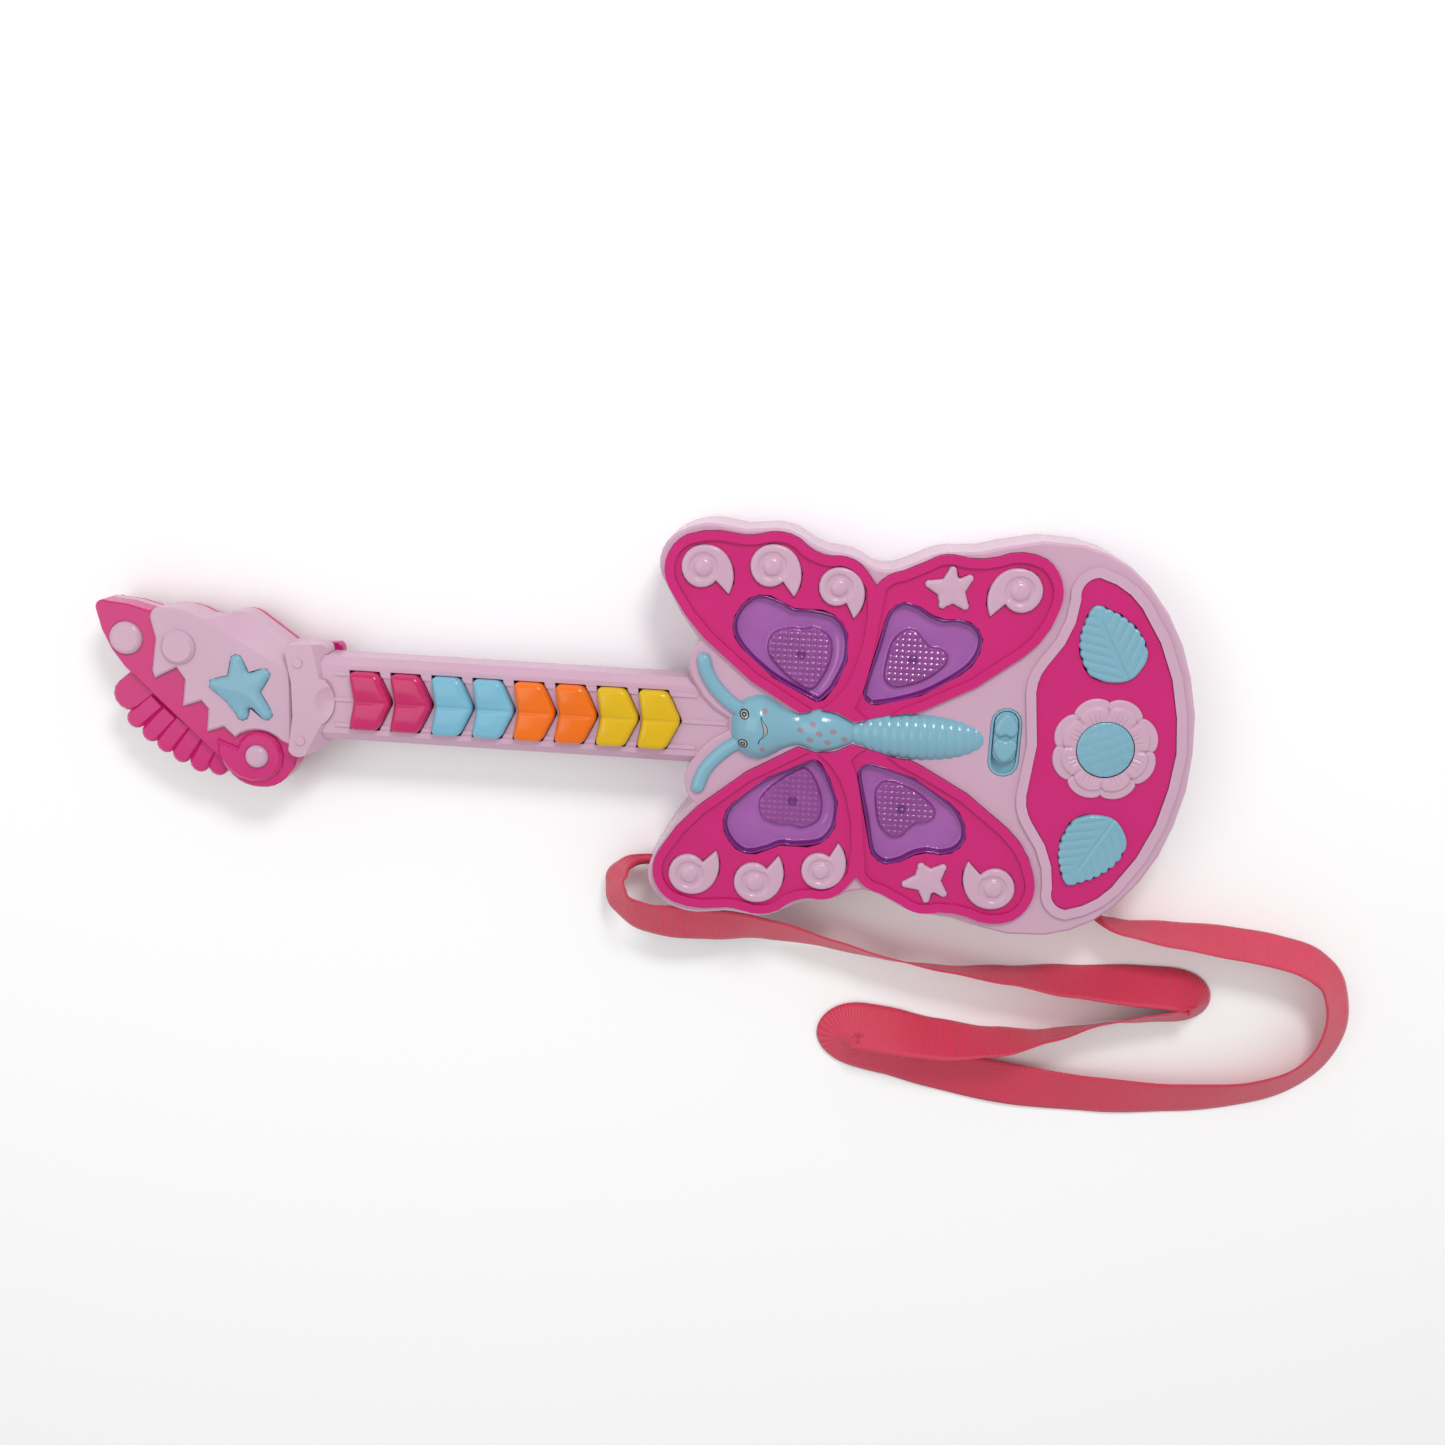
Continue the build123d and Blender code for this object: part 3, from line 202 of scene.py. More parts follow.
def speckled(name, color, rough, metallic=0.0, grain=120.0, depth=0.7):
    material, shader = newMaterial(name)
    speck = objectNoise(material, grain, 4.0)
    darker = tuple(depth * c for c in color)
    link(material, mixOf(material, speck, darker, color), shader.inputs["Base Color"])
    link(material, rangeOf(material, speck, rough - 0.08, rough + 0.08), shader.inputs["Roughness"])
    bumpFrom(material, shader, speck, 0.15, 0.00005)
    shader.inputs["Metallic"].default_value = metallic
    return material


finish["lens"] = tinted("tintedLens", srgb(172, 98, 176), srgb(148, 74, 156), 0.07, 0.12)
finish["lensRim"] = tinted("lensRim", srgb(112, 22, 116), srgb(88, 12, 96), 0.1, 0.05)
finish["heartFloor"] = tinted("heartFloor", srgb(150, 70, 150), srgb(122, 44, 124), 0.12, 0.1)
finish["board"] = speckled("solderMask", (0.02, 0.2, 0.07), 0.4)
finish["rubber"] = speckled("padRubber", (0.2, 0.2, 0.2), 0.7)
finish["lamp"] = speckled("clearLamp", (0.85, 0.85, 0.85), 0.2)
finish["cell"] = speckled("cellCase", (0.25, 0.25, 0.27), 0.35, 0.8)
finish["contact"] = speckled("platedSteel", (0.7, 0.7, 0.68), 0.3, 1.0)
finish["speaker"] = speckled("speakerFrame", (0.05, 0.05, 0.05), 0.5)
finish["ink"] = speckled("blackInk", (0.006, 0.006, 0.007), 0.25, 0.0, 300.0)
finish["silver"] = speckled("silverInk", (0.5, 0.5, 0.48), 0.3, 0.7, 500.0, 0.8)
finish["blush"] = speckled("blushInk", srgb(150, 128, 140), 0.25, 0.0, 900.0, 0.9)
print("finishes made:", len(finish))


# ---- outlines, in mm ----
def smoothLine(points, each=10):
    # a line through its points, without corners
    line = []
    last = len(points) - 1
    for k in range(last):
        a, b, c, d = (np.array(points[min(max(k + j, 0), last)], float) for j in (-1, 0, 1, 2))
        for t in np.arange(each) / each:
            line.append(0.5 * (2 * b + (c - a) * t + (2 * a - 5 * b + 4 * c - d) * t ** 2
                               + (3 * b - a - 3 * c + d) * t ** 3))
    return line + [np.array(points[-1], float)]


def smoothLoop(points, each=10):
    wrapped = [points[-1]] + list(points) + [points[0], points[1]]
    return smoothLine(wrapped, each)[each:each * (len(points) + 1)]


def roundedLoop(corners, radius, each=6):
    # straight sides with round corners
    loop = []
    count = len(corners)
    for k in range(count):
        a, b, c = (np.array(corners[(k + j) % count], float) for j in (-1, 0, 1))
        start = b + (a - b) / np.linalg.norm(a - b) * min(radius, 0.45 * np.linalg.norm(a - b))
        end = b + (c - b) / np.linalg.norm(c - b) * min(radius, 0.45 * np.linalg.norm(c - b))
        for t in np.linspace(0, 1, each):
            loop.append((1 - t) ** 2 * start + 2 * t * (1 - t) * b + t ** 2 * end)
    return loop


def spaced(loop, gap):
    # points along a closed loop at about an even spacing
    loop = np.array(loop)
    ends = np.vstack([loop, loop[:1]])
    steps = np.concatenate([[0], np.cumsum(np.linalg.norm(np.diff(ends, axis=0), axis=1))])
    count = max(8, round(steps[-1] / gap))
    places = np.arange(count) * steps[-1] / count
    return np.stack([np.interp(places, steps, ends[:, 0]), np.interp(places, steps, ends[:, 1])], axis=1)


def inside(loop, points):
    x, y = points[:, 0:1], points[:, 1:2]
    ax, ay = loop[:, 0], loop[:, 1]
    bx, by = np.roll(ax, -1), np.roll(ay, -1)
    crosses = ((ay > y) != (by > y)) & (x < (bx - ax) * (y - ay) / (by - ay + 1e-12) + ax)
    return crosses.sum(axis=1) % 2 == 1


def edgeDistance(loop, points):
    a, b = loop[None, :, :], np.roll(loop, -1, axis=0)[None, :, :]
    p = points[:, None, :]
    along = ((p - a) * (b - a)).sum(2) / np.maximum(((b - a) ** 2).sum(2), 1e-12)
    near = a + np.clip(along, 0, 1)[:, :, None] * (b - a)
    return np.sqrt(((p - near) ** 2).sum(2).min(1))


def turnsLeft(loop):
    x, y = loop[:, 0], loop[:, 1]
    return (x * np.roll(y, -1) - y * np.roll(x, -1)).sum() > 0


def inward(loop, by):
    # points a distance inside a loop, without those that fall too near its other side
    loop = loop if turnsLeft(loop) else loop[::-1]
    along = np.roll(loop, -1, axis=0) - np.roll(loop, 1, axis=0)
    along /= np.linalg.norm(along, axis=1)[:, None] + 1e-12
    moved = loop + by * np.stack([-along[:, 1], along[:, 0]], axis=1)
    return moved[inside(loop, moved) & (edgeDistance(loop, moved) > 0.97 * by)]


def fieldPoints(loop, gap, rings):
    sets = [inward(loop, d) for d in rings]
    low, high = loop.min(0), loop.max(0)
    xs, ys = np.meshgrid(np.arange(low[0], high[0], gap), np.arange(low[1], high[1], gap))
    grid = np.stack([xs.ravel(), ys.ravel()], axis=1)
    grid = grid[inside(loop, grid)]
    sets.append(grid[edgeDistance(loop, grid) > max(rings) + 0.3 * gap])
    return np.vstack([s for s in sets if len(s)])


def meshPiece(name, verts, faces, materials, smooth=True):
    mesh = bpy.data.meshes.new(name)
    mesh.from_pydata([tuple(float(c) for c in v) for v in verts], [], faces)
    obj = bpy.data.objects.new(name, mesh)
    bpy.context.scene.collection.objects.link(obj)
    for material in materials if isinstance(materials, (list, tuple)) else [materials]:
        mesh.materials.append(material)
    if smooth:
        mesh.shade_smooth()
    return obj


def cushion(name, loop, foot, height, materials, gap, rings, edgeGap=0.6, pick=None):
    # a closed outline with walls down to its foot and a top that follows height(x, y, distance from the edge)
    loop = spaced(loop, edgeGap)
    field = fieldPoints(loop, gap, rings)
    points = np.vstack([loop, field])
    count = len(loop)
    outline = [list(range(count))]
    verts, edges, tris, *rest = delaunay_2d_cdt([Vector(p) for p in points], [], outline, 1, 1e-6)
    flat = np.array([tuple(v) for v in verts])
    distance = edgeDistance(loop, flat)
    tops = height(flat[:, 0], flat[:, 1], distance)
    coords = np.column_stack([flat, tops]) * mm
    rim = [int(np.argmin(((flat - p) ** 2).sum(1))) for p in loop]
    faces = [tuple(t) for t in tris]
    feet = len(coords)
    coords = np.vstack([coords, np.column_stack([loop, np.full(count, foot)]) * mm])
    for k in range(count):
        n = (k + 1) % count
        faces.append((feet + k, feet + n, rim[n], rim[k]))
    obj = meshPiece(name, coords, faces, materials)
    if pick:
        middles = np.array([np.mean([flat[i] for i in t], axis=0) for t in tris])
        chosen = pick(middles[:, 0], middles[:, 1], edgeDistance(loop, middles))
        for polygon, which in zip(obj.data.polygons, chosen):
            polygon.material_index = int(which)
    tidy = bmesh.new()
    tidy.from_mesh(obj.data)
    bmesh.ops.recalc_face_normals(tidy, faces=tidy.faces)
    up = sum(f.normal.z * f.calc_area() for f in tidy.faces)
    if up < 0:
        bmesh.ops.reverse_faces(tidy, faces=tidy.faces)
    tidy.to_mesh(obj.data)
    tidy.free()
    return obj


def shoulder(distance, radius):
    # how far a round edge lies below the top, at a distance from the outline
    share = np.clip(1 - distance / radius, 0, 1)
    return radius * (1 - np.sqrt(np.maximum(0, 1 - share ** 2)))


def smoothStep(value):
    value = np.clip(value, 0, 1)
    return value * value * (3 - 2 * value)


def flipped(loop, side):
    return [(p[0], side * p[1]) for p in loop]


def settled(obj, node):
    # the piece stands for its CAD node, on the same body
    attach(obj, frame["nodes"][node]["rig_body"])
    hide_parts(node)


# ---- ribbon strap ----
ribbon = {"width": 25, "thick": 0.7, "length": 979, "rib": 1.15, "gathered": 4.2, "across": 10,
          "hole": 3, "gather": 20, "bunch": 1.2, "pleat": 0.7}
# x, y and z of the middle line in mm, and the lean of the ribbon in degrees,
# from the left hole to the right one
ribbonRoute = [
    (-127.5, -77, 12.5, 90), (-133, -76.8, 13, 90), (-141.5, -78.5, 15, 82), (-147, -86.5, 19, 66),
    (-144, -97.5, 23.5, 50), (-131, -104, 26, 38), (-114, -104.8, 26.5, 32), (-94, -105.2, 25, 35),
    (-67, -108.8, 15.5, 48), (-36, -115.8, 12, 60), (-8, -121.8, 12.2, 67), (22, -125, 12.6, 76),
    (53, -125.4, 13, 90), (83, -126.6, 12.4, 108), (121, -127, 10.8, 124), (143, -127.4, 10.6, 128),
    (152, -134, 10.8, 126), (146.5, -140.5, 11, 126), (126, -144, 11.4, 120), (103, -148, 12, 113),
    (78, -156.6, 12.6, 100), (50, -162.6, 12.8, 78), (20, -164, 11.4, 58), (-8, -161, 9.4, 42),
    (-24.5, -161, 8.2, 36), (-31.5, -169, 7.6, 32), (-21, -175.6, 6.8, 27), (-4, -177.6, 5.6, 21),
    (20, -183, 3.6, 13), (55, -189, 3.2, 10), (104, -190.8, 5.6, 22), (146, -188.2, 7.6, 33),
    (184, -181.6, 8.8, 41), (208, -168.4, 9.4, 45), (219.6, -147, 9.6, 46), (217.4, -124, 10.2, 52),
    (207.6, -110.4, 11, 60), (188, -103.4, 11.8, 67), (160, -100, 12.2, 70), (132, -98, 12.6, 79),
    (108, -96.6, 12.6, 90), (95, -93, 12.5, 92), (87.6, -84.6, 12.5, 90),
]


def splineLine(points):
    # the middle line of a smooth spline through its control points
    curve = bpy.data.curves.new("routeLine", "CURVE")
    curve.dimensions = "3D"
    spline = curve.splines.new("NURBS")
    spline.points.add(len(points) - 1)
    for point, (x, y, z, *rest) in zip(spline.points, points):
        point.co = (x * mm, y * mm, z * mm, 1)
    spline.order_u = 3
    spline.use_endpoint_u = True
    spline.resolution_u = 16
    obj = bpy.data.objects.new("routeLine", curve)
    bpy.context.scene.collection.objects.link(obj)
    bpy.context.view_layer.update()
    shaped = obj.evaluated_get(bpy.context.evaluated_depsgraph_get())
    mesh = bpy.data.meshes.new_from_object(shaped)
    line = [v.co.copy() for v in mesh.vertices]
    bpy.data.objects.remove(obj)
    return line


def alongRoute(points, count):
    # the lean at each point of the spline; each stretch of it lies about one control point
    leans = []
    for k in range(count):
        place = min(max(k / (count - 1) * (len(points) - 2) + 0.5, 0.0), len(points) - 1.0)
        low = min(int(place), len(points) - 2)
        share = smoothStep(place - low)
        leans.append(float((1 - share) * points[low][3] + share * points[low + 1][3]))
    return leans


def grosgrain():
    material, shader = newMaterial("coralGrosgrain")
    place = addNode(material, "ShaderNodeUVMap")
    parts = addNode(material, "ShaderNodeSeparateXYZ")
    link(material, place.outputs["UV"], parts.inputs["Vector"])
    rib = addNode(material, "ShaderNodeMath", operation="MULTIPLY")
    rib.inputs[1].default_value = 2 * math.pi / ribbon["rib"]
    link(material, parts.outputs["X"], rib.inputs[0])
    wave = addNode(material, "ShaderNodeMath", operation="SINE")
    link(material, rib.outputs["Value"], wave.inputs[0])
    ridge = rangeOf(material, wave.outputs["Value"], 0.0, 1.0)
    ridge.node.inputs["From Min"].default_value = -1.0
    base = mixOf(material, objectNoise(material, 30.0, 3.0), srgb(198, 46, 76), srgb(214, 58, 90))
    # painted shade: the ribbon's colour is multiplied darker in the grooves between the ribs, lightest on the rib
    # crests
    shade = addNode(material, "ShaderNodeMix", data_type="RGBA", blend_type="MULTIPLY")
    link(material, rangeOf(material, ridge, 1.0, 0.0), shade.inputs["Factor"])
    link(material, base, shade.inputs[6])
    shade.inputs[7].default_value = (0.8, 0.66, 0.7, 1)
    link(material, shade.outputs[2], shader.inputs["Base Color"])
    height = addNode(material, "ShaderNodeMath", operation="ADD")
    link(material, ridge, height.inputs[0])
    link(material, rangeOf(material, objectNoise(material, 1400.0, 3.0), 0.0, 0.3), height.inputs[1])
    bumpFrom(material, shader, height.outputs["Value"], 0.6, 0.00022)
    shader.inputs["Roughness"].default_value = 0.55
    shader.inputs["Sheen Weight"].default_value = 0.25
    shader.inputs["Sheen Roughness"].default_value = 0.4
    shader.inputs["Sheen Tint"].default_value = (1.0, 0.6, 0.68, 1)
    return material


def makeRibbon():
    line = splineLine(ribbonRoute)
    leans = alongRoute(ribbonRoute, len(line))
    steps = [0.0]
    for a, b in zip(line, line[1:]):
        steps.append(steps[-1] + (b - a).length / mm)
    print("ribbon length in mm:", round(steps[-1]))
    across = ribbon["across"]
    verts, faces, flow = [], [], []
    for k, (here, lean) in enumerate(zip(line, leans)):
        ahead = (line[min(k + 1, len(line) - 1)] - line[max(k - 1, 0)]).normalized()
        aside = Vector((-ahead.y, ahead.x, 0)).normalized()
        lean = math.radians(lean)
        wide = math.cos(lean) * aside + math.sin(lean) * Vector((0, 0, 1))
        wide = (wide - wide.dot(ahead) * ahead).normalized()
        thin = ahead.cross(wide)
        ends = min(steps[k], steps[-1] - steps[k])
        spread = smoothStep((ends - ribbon["hole"]) / ribbon["gather"])
        half = (ribbon["gathered"] + (ribbon["width"] - ribbon["gathered"]) * spread) / 2
        half = min(half, max(0.5, (here.z / mm - 0.2) / max(0.05, abs(math.sin(lean)))))
        thick = ribbon["thick"] / 2 + (1 - spread) * ribbon["bunch"]
        for side in (1, -1):
            for j in range(across + 1):
                v = (2 * j / across - 1) * side
                pleat = (1 - spread) * ribbon["pleat"] * math.cos(3 * math.pi * v)
                verts.append(here + (wide * half * v + thin * (side * thick + pleat)) * mm)
                flow.append((steps[k], v * ribbon["width"] / 2))
    ring = 2 * (across + 1)
    for k in range(len(line) - 1):
        for j in range(ring):
            a, b = k * ring + j, k * ring + (j + 1) % ring
            faces.append((a, b, b + ring, a + ring))
    faces.append(tuple(reversed(range(ring))))
    faces.append(tuple(range((len(line) - 1) * ring, len(line) * ring)))
    obj = meshPiece("ribbonStrap", verts, faces, grosgrain())
    uv = obj.data.uv_layers.new(name="flow")
    for loop in obj.data.loops:
        uv.data[loop.index].uv = flow[loop.vertex_index]
    settled(obj, "strap")


makeRibbon()
print("ribbon laid")


# ---- dressed CAD pieces ----
edgeWork = {"merge": 0.004, "flat": 1.0, "sharp": 28, "segments": 3, "weight": 70}


def dressed(node, material, bevel):
    # a copy of a moulded part with its flats merged and its edges rounded
    source = frame["nodes"][node]
    mesh = source.data.copy()
    mesh.name = node + "Moulding"
    work = bmesh.new()
    work.from_mesh(mesh)
    bmesh.ops.remove_doubles(work, verts=work.verts, dist=edgeWork["merge"] * mm)
    bmesh.ops.dissolve_limit(work, angle_limit=math.radians(edgeWork["flat"]), verts=work.verts,
                             edges=work.edges)
    work.to_mesh(mesh)
    work.free()
    mesh.materials.clear()
    mesh.materials.append(material)
    mesh.shade_smooth()
    obj = bpy.data.objects.new(node + "_moulding", mesh)
    bpy.context.scene.collection.objects.link(obj)
    edge = obj.modifiers.new("edge", "BEVEL")
    edge.width = bevel * mm
    edge.segments = edgeWork["segments"]
    edge.limit_method = "ANGLE"
    edge.angle_limit = math.radians(edgeWork["sharp"])
    edge.use_clamp_overlap = True
    weigh = obj.modifiers.new("weigh", "WEIGHTED_NORMAL")
    weigh.weight = edgeWork["weight"]
    settled(obj, node)


mouldings = {
    "front_shell": ("palePink", 0.8), "rear_shell": ("palePink", 0.8), "battery_door": ("palePink", 0.3),
    "neck_front": ("palePink", 0.3), "neck_rear": ("palePink", 1.2), "nut_collar": ("palePink", 0.9),
    "head_front": ("palePink", 1.0), "head_core": ("magenta", 1.0), "head_rear": ("magenta", 1.0),
    "head_studs": ("palePink", 0.9), "wing_panel_upper": ("magenta", 0.6), "wing_panel_lower": ("magenta", 0.6),
    "tail_panel": ("magenta", 0.4), "switch_well": ("skyBlue", 0.3),
}
for node, (color, bevel) in mouldings.items():
    dressed(node, finish[color], bevel)
print("mouldings dressed:", len(mouldings))

innerParts = {"main_board": "board", "neck_board": "board", "body_contact_pads": "rubber",
              "neck_contact_pads": "rubber", "lamps": "lamp", "batteries": "cell",
              "battery_contacts": "contact", "speaker": "speaker"}
for node, name in innerParts.items():
    data = frame["nodes"][node].data
    data.materials.clear()
    data.materials.append(finish[name])
print("inner parts finished:", len(innerParts))


# ---- butterfly body ----
butterfly = {"sink": 8.2, "waist": (-33.0, 4.8), "widest": (-3.0, 11.2), "tail": 28.8, "rings": 14,
             "groove": 0.75, "brow": 4, "across": 36,
             "head": [(-91, 0), (-90.6, 4.2), (-88.6, 9), (-85.8, 12.6), (-82, 14.8), (-76.5, 15.7),
                      (-70.5, 13), (-65, 9.7), (-58.5, 7.8), (-53, 9.4), (-47.5, 10.2), (-40, 8.4),
                      (-33, 5.0)],
             "eyes": (-84.6, 7.1), "cheeks": (-75.2, 9.3),
             "smile": [(-76.6, 6.8), (-75.9, 4.6), (-74.6, 2.2), (-74.0, -0.4), (-75.0, -2.8),
                       (-76.7, -4.4), (-77.0, -6.4)],
             "spots": [(-57.8, 0.5), (-52, 3.7), (-53.1, -3.9), (-48.9, -0.5), (-42.3, 0.8),
                       (-44.7, -4.7), (-36.9, -3)]}
# rings of an eye as radius and material: 0 black, 1 silver
eyeRings = [(0.5, 1), (0.6, 0), (1.2, 0), (1.3, 1), (1.8, 1), (1.9, 0), (2.4, 0)]


def bodyWidth(x):
    if x < butterfly["waist"][0]:
        line = np.array(smoothLine(butterfly["head"], 8))
        return float(np.interp(x, line[:, 0], line[:, 1]))
    (start, narrow), (middle, wide), end = butterfly["waist"], butterfly["widest"], butterfly["tail"]
    if x < middle:
        width = narrow + (wide - narrow) * math.cos((middle - x) / (middle - start) * math.pi / 2)
    else:
        width = wide * math.sqrt(max(0, 1 - ((x - middle) / (end - middle)) ** 2))
    phase = (x - start) / (end - start) * butterfly["rings"]
    return max(0.0, width - butterfly["groove"] * (1 - abs(math.sin(math.pi * phase)) ** 0.6))


def bodyTop(x, y):
    width = bodyWidth(x)
    crest = width ** 2 + butterfly["sink"] ** 2 - min(abs(y), width) ** 2
    return face - butterfly["sink"] + math.sqrt(crest)


def makeButterfly():
    start, end = butterfly["head"][0][0], butterfly["tail"]
    brow = [start + (1 - math.cos(t)) * butterfly["brow"] for t in np.linspace(0.05, math.pi / 2, 10)]
    xs = brow + list(np.arange(brow[-1] + 0.5, butterfly["waist"][0], 0.7))
    xs += list(np.arange(butterfly["waist"][0], end - 0.15, 0.22)) + [end - 0.1]
    across = butterfly["across"]
    verts, faces = [], []
    for x in xs:
        width = bodyWidth(x)
        for j in range(across + 1):
            y = -width * math.cos(math.pi * j / across)
            verts.append((x * mm, y * mm, bodyTop(x, y) * mm))
    row = across + 1
    for k in range(len(xs) - 1):
        for j in range(across):
            a = k * row + j
            faces.append((a, a + row, a + row + 1, a + 1))
    faces.append(tuple(range(row)))
    faces.append(tuple(reversed(range((len(xs) - 1) * row, len(xs) * row))))
    obj = meshPiece("butterflyForm", verts, faces, finish["skyBlue"])
    settled(obj, "butterfly_body")


def onBody(name, center, rings, turns, lift, materials, stretch=(1, 1), turn=0.0, arch=0.0):
    # round printed or raised mark that follows the butterfly's body; rings are (radius, material number)
    verts, faces, picks = [], [], []
    cx, cy = center
    spin = math.radians(turn)

    def place(radius, angle, rise):
        u, v = radius * math.cos(angle) * stretch[0], radius * math.sin(angle) * stretch[1]
        x, y = cx + u * math.cos(spin) - v * math.sin(spin), cy + u * math.sin(spin) + v * math.cos(spin)
        return (x * mm, y * mm, (bodyTop(x, y) + lift + rise) * mm)
    outer = rings[-1][0]
    verts.append(place(0, 0, arch))
    for radius, which in rings:
        for j in range(turns):
            verts.append(place(radius, 2 * math.pi * j / turns, arch * (1 - (radius / outer) ** 2)))
    for k, (radius, which) in enumerate(rings):
        for j in range(turns):
            a, b = 1 + k * turns + j, 1 + k * turns + (j + 1) % turns
            faces.append((0, a, b) if k == 0 else (a - turns, a, b, b - turns))
            picks.append(which)
    obj = meshPiece(name, verts, faces, materials)
    for polygon, which in zip(obj.data.polygons, picks):
        polygon.material_index = which
    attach(obj, frame["nodes"]["butterfly_body"]["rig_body"])


def makeFace():
    inks = [finish["ink"], finish["silver"]]
    for k, side in enumerate((1, -1)):
        eye, cheek = butterfly["eyes"], butterfly["cheeks"]
        onBody(f"eye_{k}", (eye[0], side * eye[1]), eyeRings, 28, 0.03, inks, arch=0.45)
        onBody(f"cheek_{k}", (cheek[0], side * cheek[1]), [(0.8, 0), (1.35, 0)], 24, 0.03,
               [finish["blush"]], stretch=(1, 0.95))
    smile = smoothLine(butterfly["smile"], 8)
    for name, material, swell, lift in (("smileLine", finish["ink"], 0.0, 0.05),
                                        ("smileTeeth", finish["silver"], -0.3, 0.09)):
        verts, faces = [], []
        for k, (x, y) in enumerate(smile):
            share = k / (len(smile) - 1)
            half = 0.24 + 0.85 * max(0, math.sin(math.pi * min(1, share / 0.82))) ** 2 + swell
            half = max(half, 0.02)
            for s in (-half, half):
                verts.append(((x + s) * mm, y * mm, (bodyTop(x + s, y) + lift) * mm))
            if k:
                faces.append((2 * k - 2, 2 * k - 1, 2 * k + 1, 2 * k))
        obj = meshPiece(name, verts, [f[::-1] for f in faces], material)
        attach(obj, frame["nodes"]["butterfly_body"]["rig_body"])
    for k, spot in enumerate(butterfly["spots"]):
        onBody(f"spot_{k}", spot, [(0.9, 0), (1.55, 0)], 20, 0.03, [finish["blush"]],
               stretch=(1.1, 0.8), turn=-20)


makeButterfly()
makeFace()
print("butterfly formed")


# ---- feelers ----
feeler = {"line": [(-84.5, 6.6), (-92.5, 11.6), (-99.6, 18.6), (-103.6, 25), (-105.4, 31)],
          "width": 6.8, "rise": 3.0, "sink": 0.3, "round": 0.8}


def makeFeelers():
    for name, side in (("upper", 1), ("lower", -1)):
        line = smoothLine(feeler["line"], 10)
        half = feeler["width"] / 2
        left, right = [], []
        for k, p in enumerate(line):
            ahead = line[min(k + 1, len(line) - 1)] - line[max(k - 1, 0)]
            ahead = ahead / np.linalg.norm(ahead)
            aside = np.array([-ahead[1], ahead[0]])
            left.append(p + aside * half)
            right.append(p - aside * half)
        cap = [line[-1] + half * (math.cos(t) * aside + math.sin(t) * ahead)
               for t in np.linspace(0.2, math.pi - 0.2, 10)]
        loop = flipped(left + cap + right[::-1], side)
        top = face + feeler["rise"]

        def height(x, y, d):
            return top - shoulder(d, half) * feeler["round"]
        obj = cushion("feeler_" + name, loop, face - feeler["sink"], height, finish["skyBlue"], 0.7,
                      (0.25, 0.6, 1.1, 1.7, 2.5))
        settled(obj, "butterfly_feelers")


makeFeelers()
print("feelers bent")


# ---- snail keys ----
# places as x, y, size, turn and hand; the spiral as angle and reach
snails = {"places": [(-107.5, 75, 10.2, 0, 1), (-75.5, 77, 10.2, -7, 1), (-44, 69, 9.4, -17, 1),
                     (39, 72, 10.4, 0, -1)],
          "spiral": [(-45, 0.86), (-78, 0.93), (-112, 0.98), (-180, 1.0), (-225, 1.0), (-278, 1.03),
                     (-340, 1.24), (-374, 1.45), (-405, 1.72)],
          "full": 10, "eye": 4.3, "groove": 5.2, "rise": 2.75, "bowl": 0.75, "dome": 1.75, "fall": 0.35,
          "round": 1.3}


def makeSnail(name, node, place, side):
    x, y, size, turn, hand = place
    spin = math.radians(hand * turn)
    reach = smoothLine(snails["spiral"], 8)
    top = face + snails["rise"]

    def world(u, v):
        u *= hand
        return (x + u * math.cos(spin) - v * math.sin(spin),
                side * (y + u * math.sin(spin) + v * math.cos(spin)))
    loop = [world(size * r * math.cos(math.radians(a)), size * r * math.sin(math.radians(a)))
            for a, r in reach]

    def height(px, py, d):
        u, v = px - x, side * py - y
        u, v = u * math.cos(spin) + v * math.sin(spin), -u * math.sin(spin) + v * math.cos(spin)
        r, angle = np.hypot(u, v), np.degrees(np.arctan2(v, hand * u))
        wound = ((-45 - angle) % 360) / 360
        edge = snails["groove"] * size / snails["full"] + 0.3 + 0.9 * wound
        bowl = -snails["bowl"] * (1 - smoothStep((r - edge) / 1.1))
        eye = snails["eye"] * size / snails["full"]
        dome = snails["dome"] * np.sqrt(np.maximum(0, 1 - (r / eye) ** 2))
        fall = -snails["fall"] * smoothStep((r - edge - 1) / 8)
        return top + bowl + dome * (r < eye) + fall - shoulder(d, snails["round"])
    obj = cushion(name, loop, face - keyFoot, height, finish["palePink"], 0.42,
                  (0.1, 0.3, 0.6, 0.95, 1.4), 0.5)
    settled(obj, node)


for sideName, side in (("upper", 1), ("lower", -1)):
    for k, place in enumerate(snails["places"]):
        makeSnail(f"snail_{sideName}_{k + 1}", f"snail_key_{sideName}_{k + 1}", place, side)
print("snail keys wound")


# ---- stars ----
# round: radius of the tips; bevel: of the edge; hip: rise towards the middle
keyStar = {"place": (7.6, 70.7), "waist": 6.5, "round": 1.9, "bevel": 1.5, "hip": 0.6,
           "tips": [(0.0, 11.3), (-12.3, 2.7), (-4.4, -8.8), (8.2, -8.5), (9.6, 6.9)],
           "rise": 2.0}
headStar = {"place": (-330.5, 1.2), "waist": 9.6, "round": 3.2, "bevel": 2.3, "hip": 0.7,
            "tips": [(-2.6, 17.5), (-16.3, 2.3), (0.3, -15.2), (14.6, -13.4), (14.0, 10.2)],
            "deep": 6.3}


